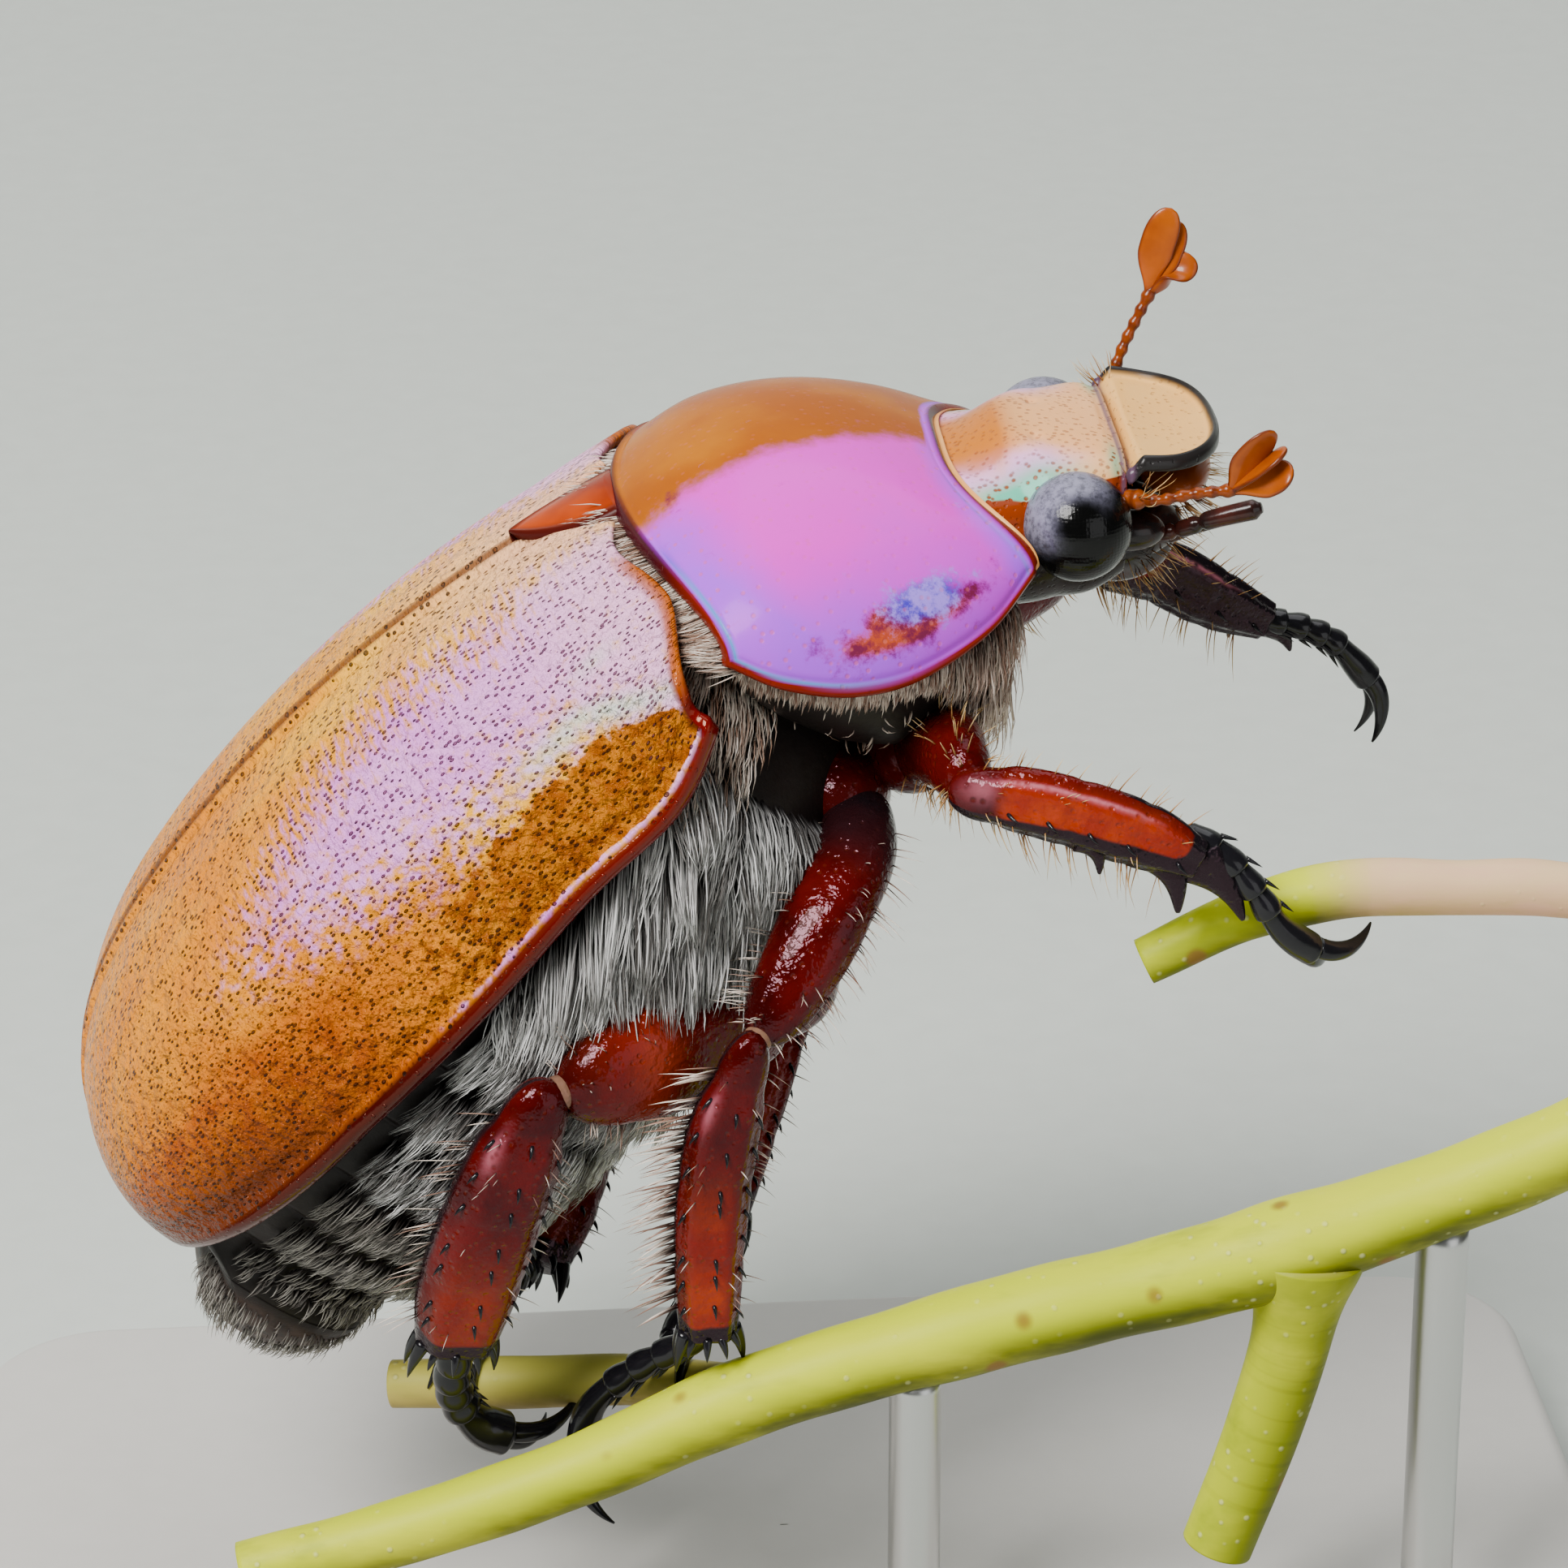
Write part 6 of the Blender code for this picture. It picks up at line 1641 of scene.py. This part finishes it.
# The pink and cream bark is also darker underneath as painted shade.
cream_bark = mottled(above, 0.1, 0.9, (0.40, 0.30, 0.05), (0.74, 0.52, 0.28))
pink_bark = mottled(streak, 0.3, 0.7, cream_bark, (0.72, 0.40, 0.28))
colour = paint.field("blush").between(green, pink_bark)
speck = paint.cells(2600).step(0.22, 0.08) * mottle.step(0.40, 0.60)
scar = 1.0 - paint.cells(520).step(0.08, 0.16)
colour = (speck * 0.42).between(colour, (0.72, 0.74, 0.34))
colour = (scar * 0.8).between(colour, (0.22, 0.09, 0.02))
twig_material = paint.finish(
    Base_Color=paint.field("cut").between(colour, (0.46, 0.38, 0.20)),
    Roughness=0.46,
    Specular_IOR_Level=0.16,
    Normal=paint.bump(streak * 0.8 + speck * 0.5, 0.00008, 0.6),
)
for name, stations in TWIGS.items():
    count = 260 if name == "perch_stem" else 150
    line = smooth(stations, count)
    knots = 1 + 0.02 * np.sin(line[:, 0] * 1.1 + len(name)) + 0.012 * np.sin(line[:, 0] * 2.7)
    if name == "perch_side_shoot":
        knots = knots + 0.35 * bell(np.linspace(0, 1, count), 0.0, 0.14)
    if name == "perch_stem":
        knots = knots + 0.06 * bell(line[:, 0], 10.2, 1.3) + 0.05 * bell(line[:, 0], 16.5, 0.8)
    points, quads, along, _ = tube(line[:, :3], line[:, 3] * knots, line[:, 3] * knots, (0, 1, 0.1), 64)
    at = np.clip((along * (count - 1)).astype(int), 0, count - 1)
    first_end = np.linalg.norm(points - line[0, :3], axis=1) < line[0, 3] * 0.93
    last_end = np.linalg.norm(points - line[-1, :3], axis=1) < line[-1, 3] * 0.93
    blush = ramp(line[:, 0], 10, 12)[at] * (name == "perch_front_twig") + 0.35 * (name == "perch_rear_twig")
    fields = {
        # How far up the stem each point lies, which sets the painted shade underneath.
        "above": np.clip(((points - line[at, :3])[:, 2] / 0.6 + 1) / 2, 0, 1),
        "blush": blush,
        "cut": (first_end | last_end).astype(float),
    }
    piece = build(name + ".bark", points, quads, twig_material, fields=fields)
    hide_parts(name)


# ---- stand -----------------------------------------------------------------------------------
# A plain, off-white, satin base plate with softened edges, and two thin steel rods that stand in
# it and hold the stem from below.

BASE_HALF_LENGTH, BASE_HALF_WIDTH, BASE_HEIGHT = 15.0, 7.5, 2.5
CORNER, SOFT_EDGE, ROD_RADIUS = 3.0, 0.4, 0.55
paint = Paint("stand lacquer")
grain = paint.noise(1500, 4)
stand_material = paint.finish(
    Base_Color=grain.between((0.50, 0.485, 0.455), (0.54, 0.525, 0.495)),
    Roughness=grain * 0.12 + 0.38,
    Normal=paint.bump(grain, 0.00002, 0.3),
)
straight = BASE_HEIGHT - SOFT_EDGE
quarter_turn = np.linspace(0.2, math.pi / 2, 8)
softened = [(straight + SOFT_EDGE * math.sin(a), SOFT_EDGE * (1 - math.cos(a))) for a in quarter_turn]
corner = np.linspace(0, math.pi / 2, 20)
rings = []
side_levels = [(0.0, 0.25), (0.1, 0.0), (straight, 0.0)]
for z, inset in side_levels + softened + [(BASE_HEIGHT, 3.2), (BASE_HEIGHT, 9.0)]:
    radius, more = max(CORNER - inset, 0.02), max(inset - CORNER, 0)
    for quarter in range(4):
        a = corner + quarter * math.pi / 2
        x = (BASE_HALF_LENGTH - more) * (1 if quarter in (0, 3) else -1) + radius * np.cos(a)
        y = (BASE_HALF_WIDTH - min(more, 7.4)) * (1 if quarter < 2 else -1) + radius * np.sin(a)
        rings.append(np.stack([x, y, np.full(20, z)], 1))
rings = np.reshape(rings, (-1, 80, 3))
rings = np.concatenate([rings[:1] * [0.01, 0.01, 1], rings, rings[-1:] * [0.01, 0.01, 1]])
quads = grid_quads(len(rings), 80, around=True)
piece = build("stand_base.plate", rings, quads, stand_material)
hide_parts("stand_base")

paint = Paint("rod steel")
brushed = paint.noise(5000, 3, 0.55, paint.stretch(paint.place, (1, 1, 0.03)))
rod_material = paint.finish(
    Base_Color=(0.55, 0.55, 0.54),
    Metallic=1.0,
    Roughness=brushed * 0.15 + 0.24,
    Normal=paint.bump(brushed, 0.00001, 0.3),
)
stem = smooth(TWIGS["perch_stem"], 300)
for name, x in (("stand_rod_rear", 2.2), ("stand_rod_front", 13.2)):
    k = int(np.argmin(np.abs(stem[:, 0] - x)))
    heights = np.linspace(BASE_HEIGHT - 0.05, stem[k, 2] - stem[k, 3] * 0.8, 30)
    path = np.array([(x, stem[k, 1], z) for z in heights])
    points, quads, _, _ = tube(path, ROD_RADIUS, ROD_RADIUS, (0, 1, 0), 40)
    piece = build(name + ".steel", points, quads, rod_material)
    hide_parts(name)


size = {"old": [list(map(float, end)) for end in cad_box], "new": [list(map(float, end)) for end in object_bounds()]}
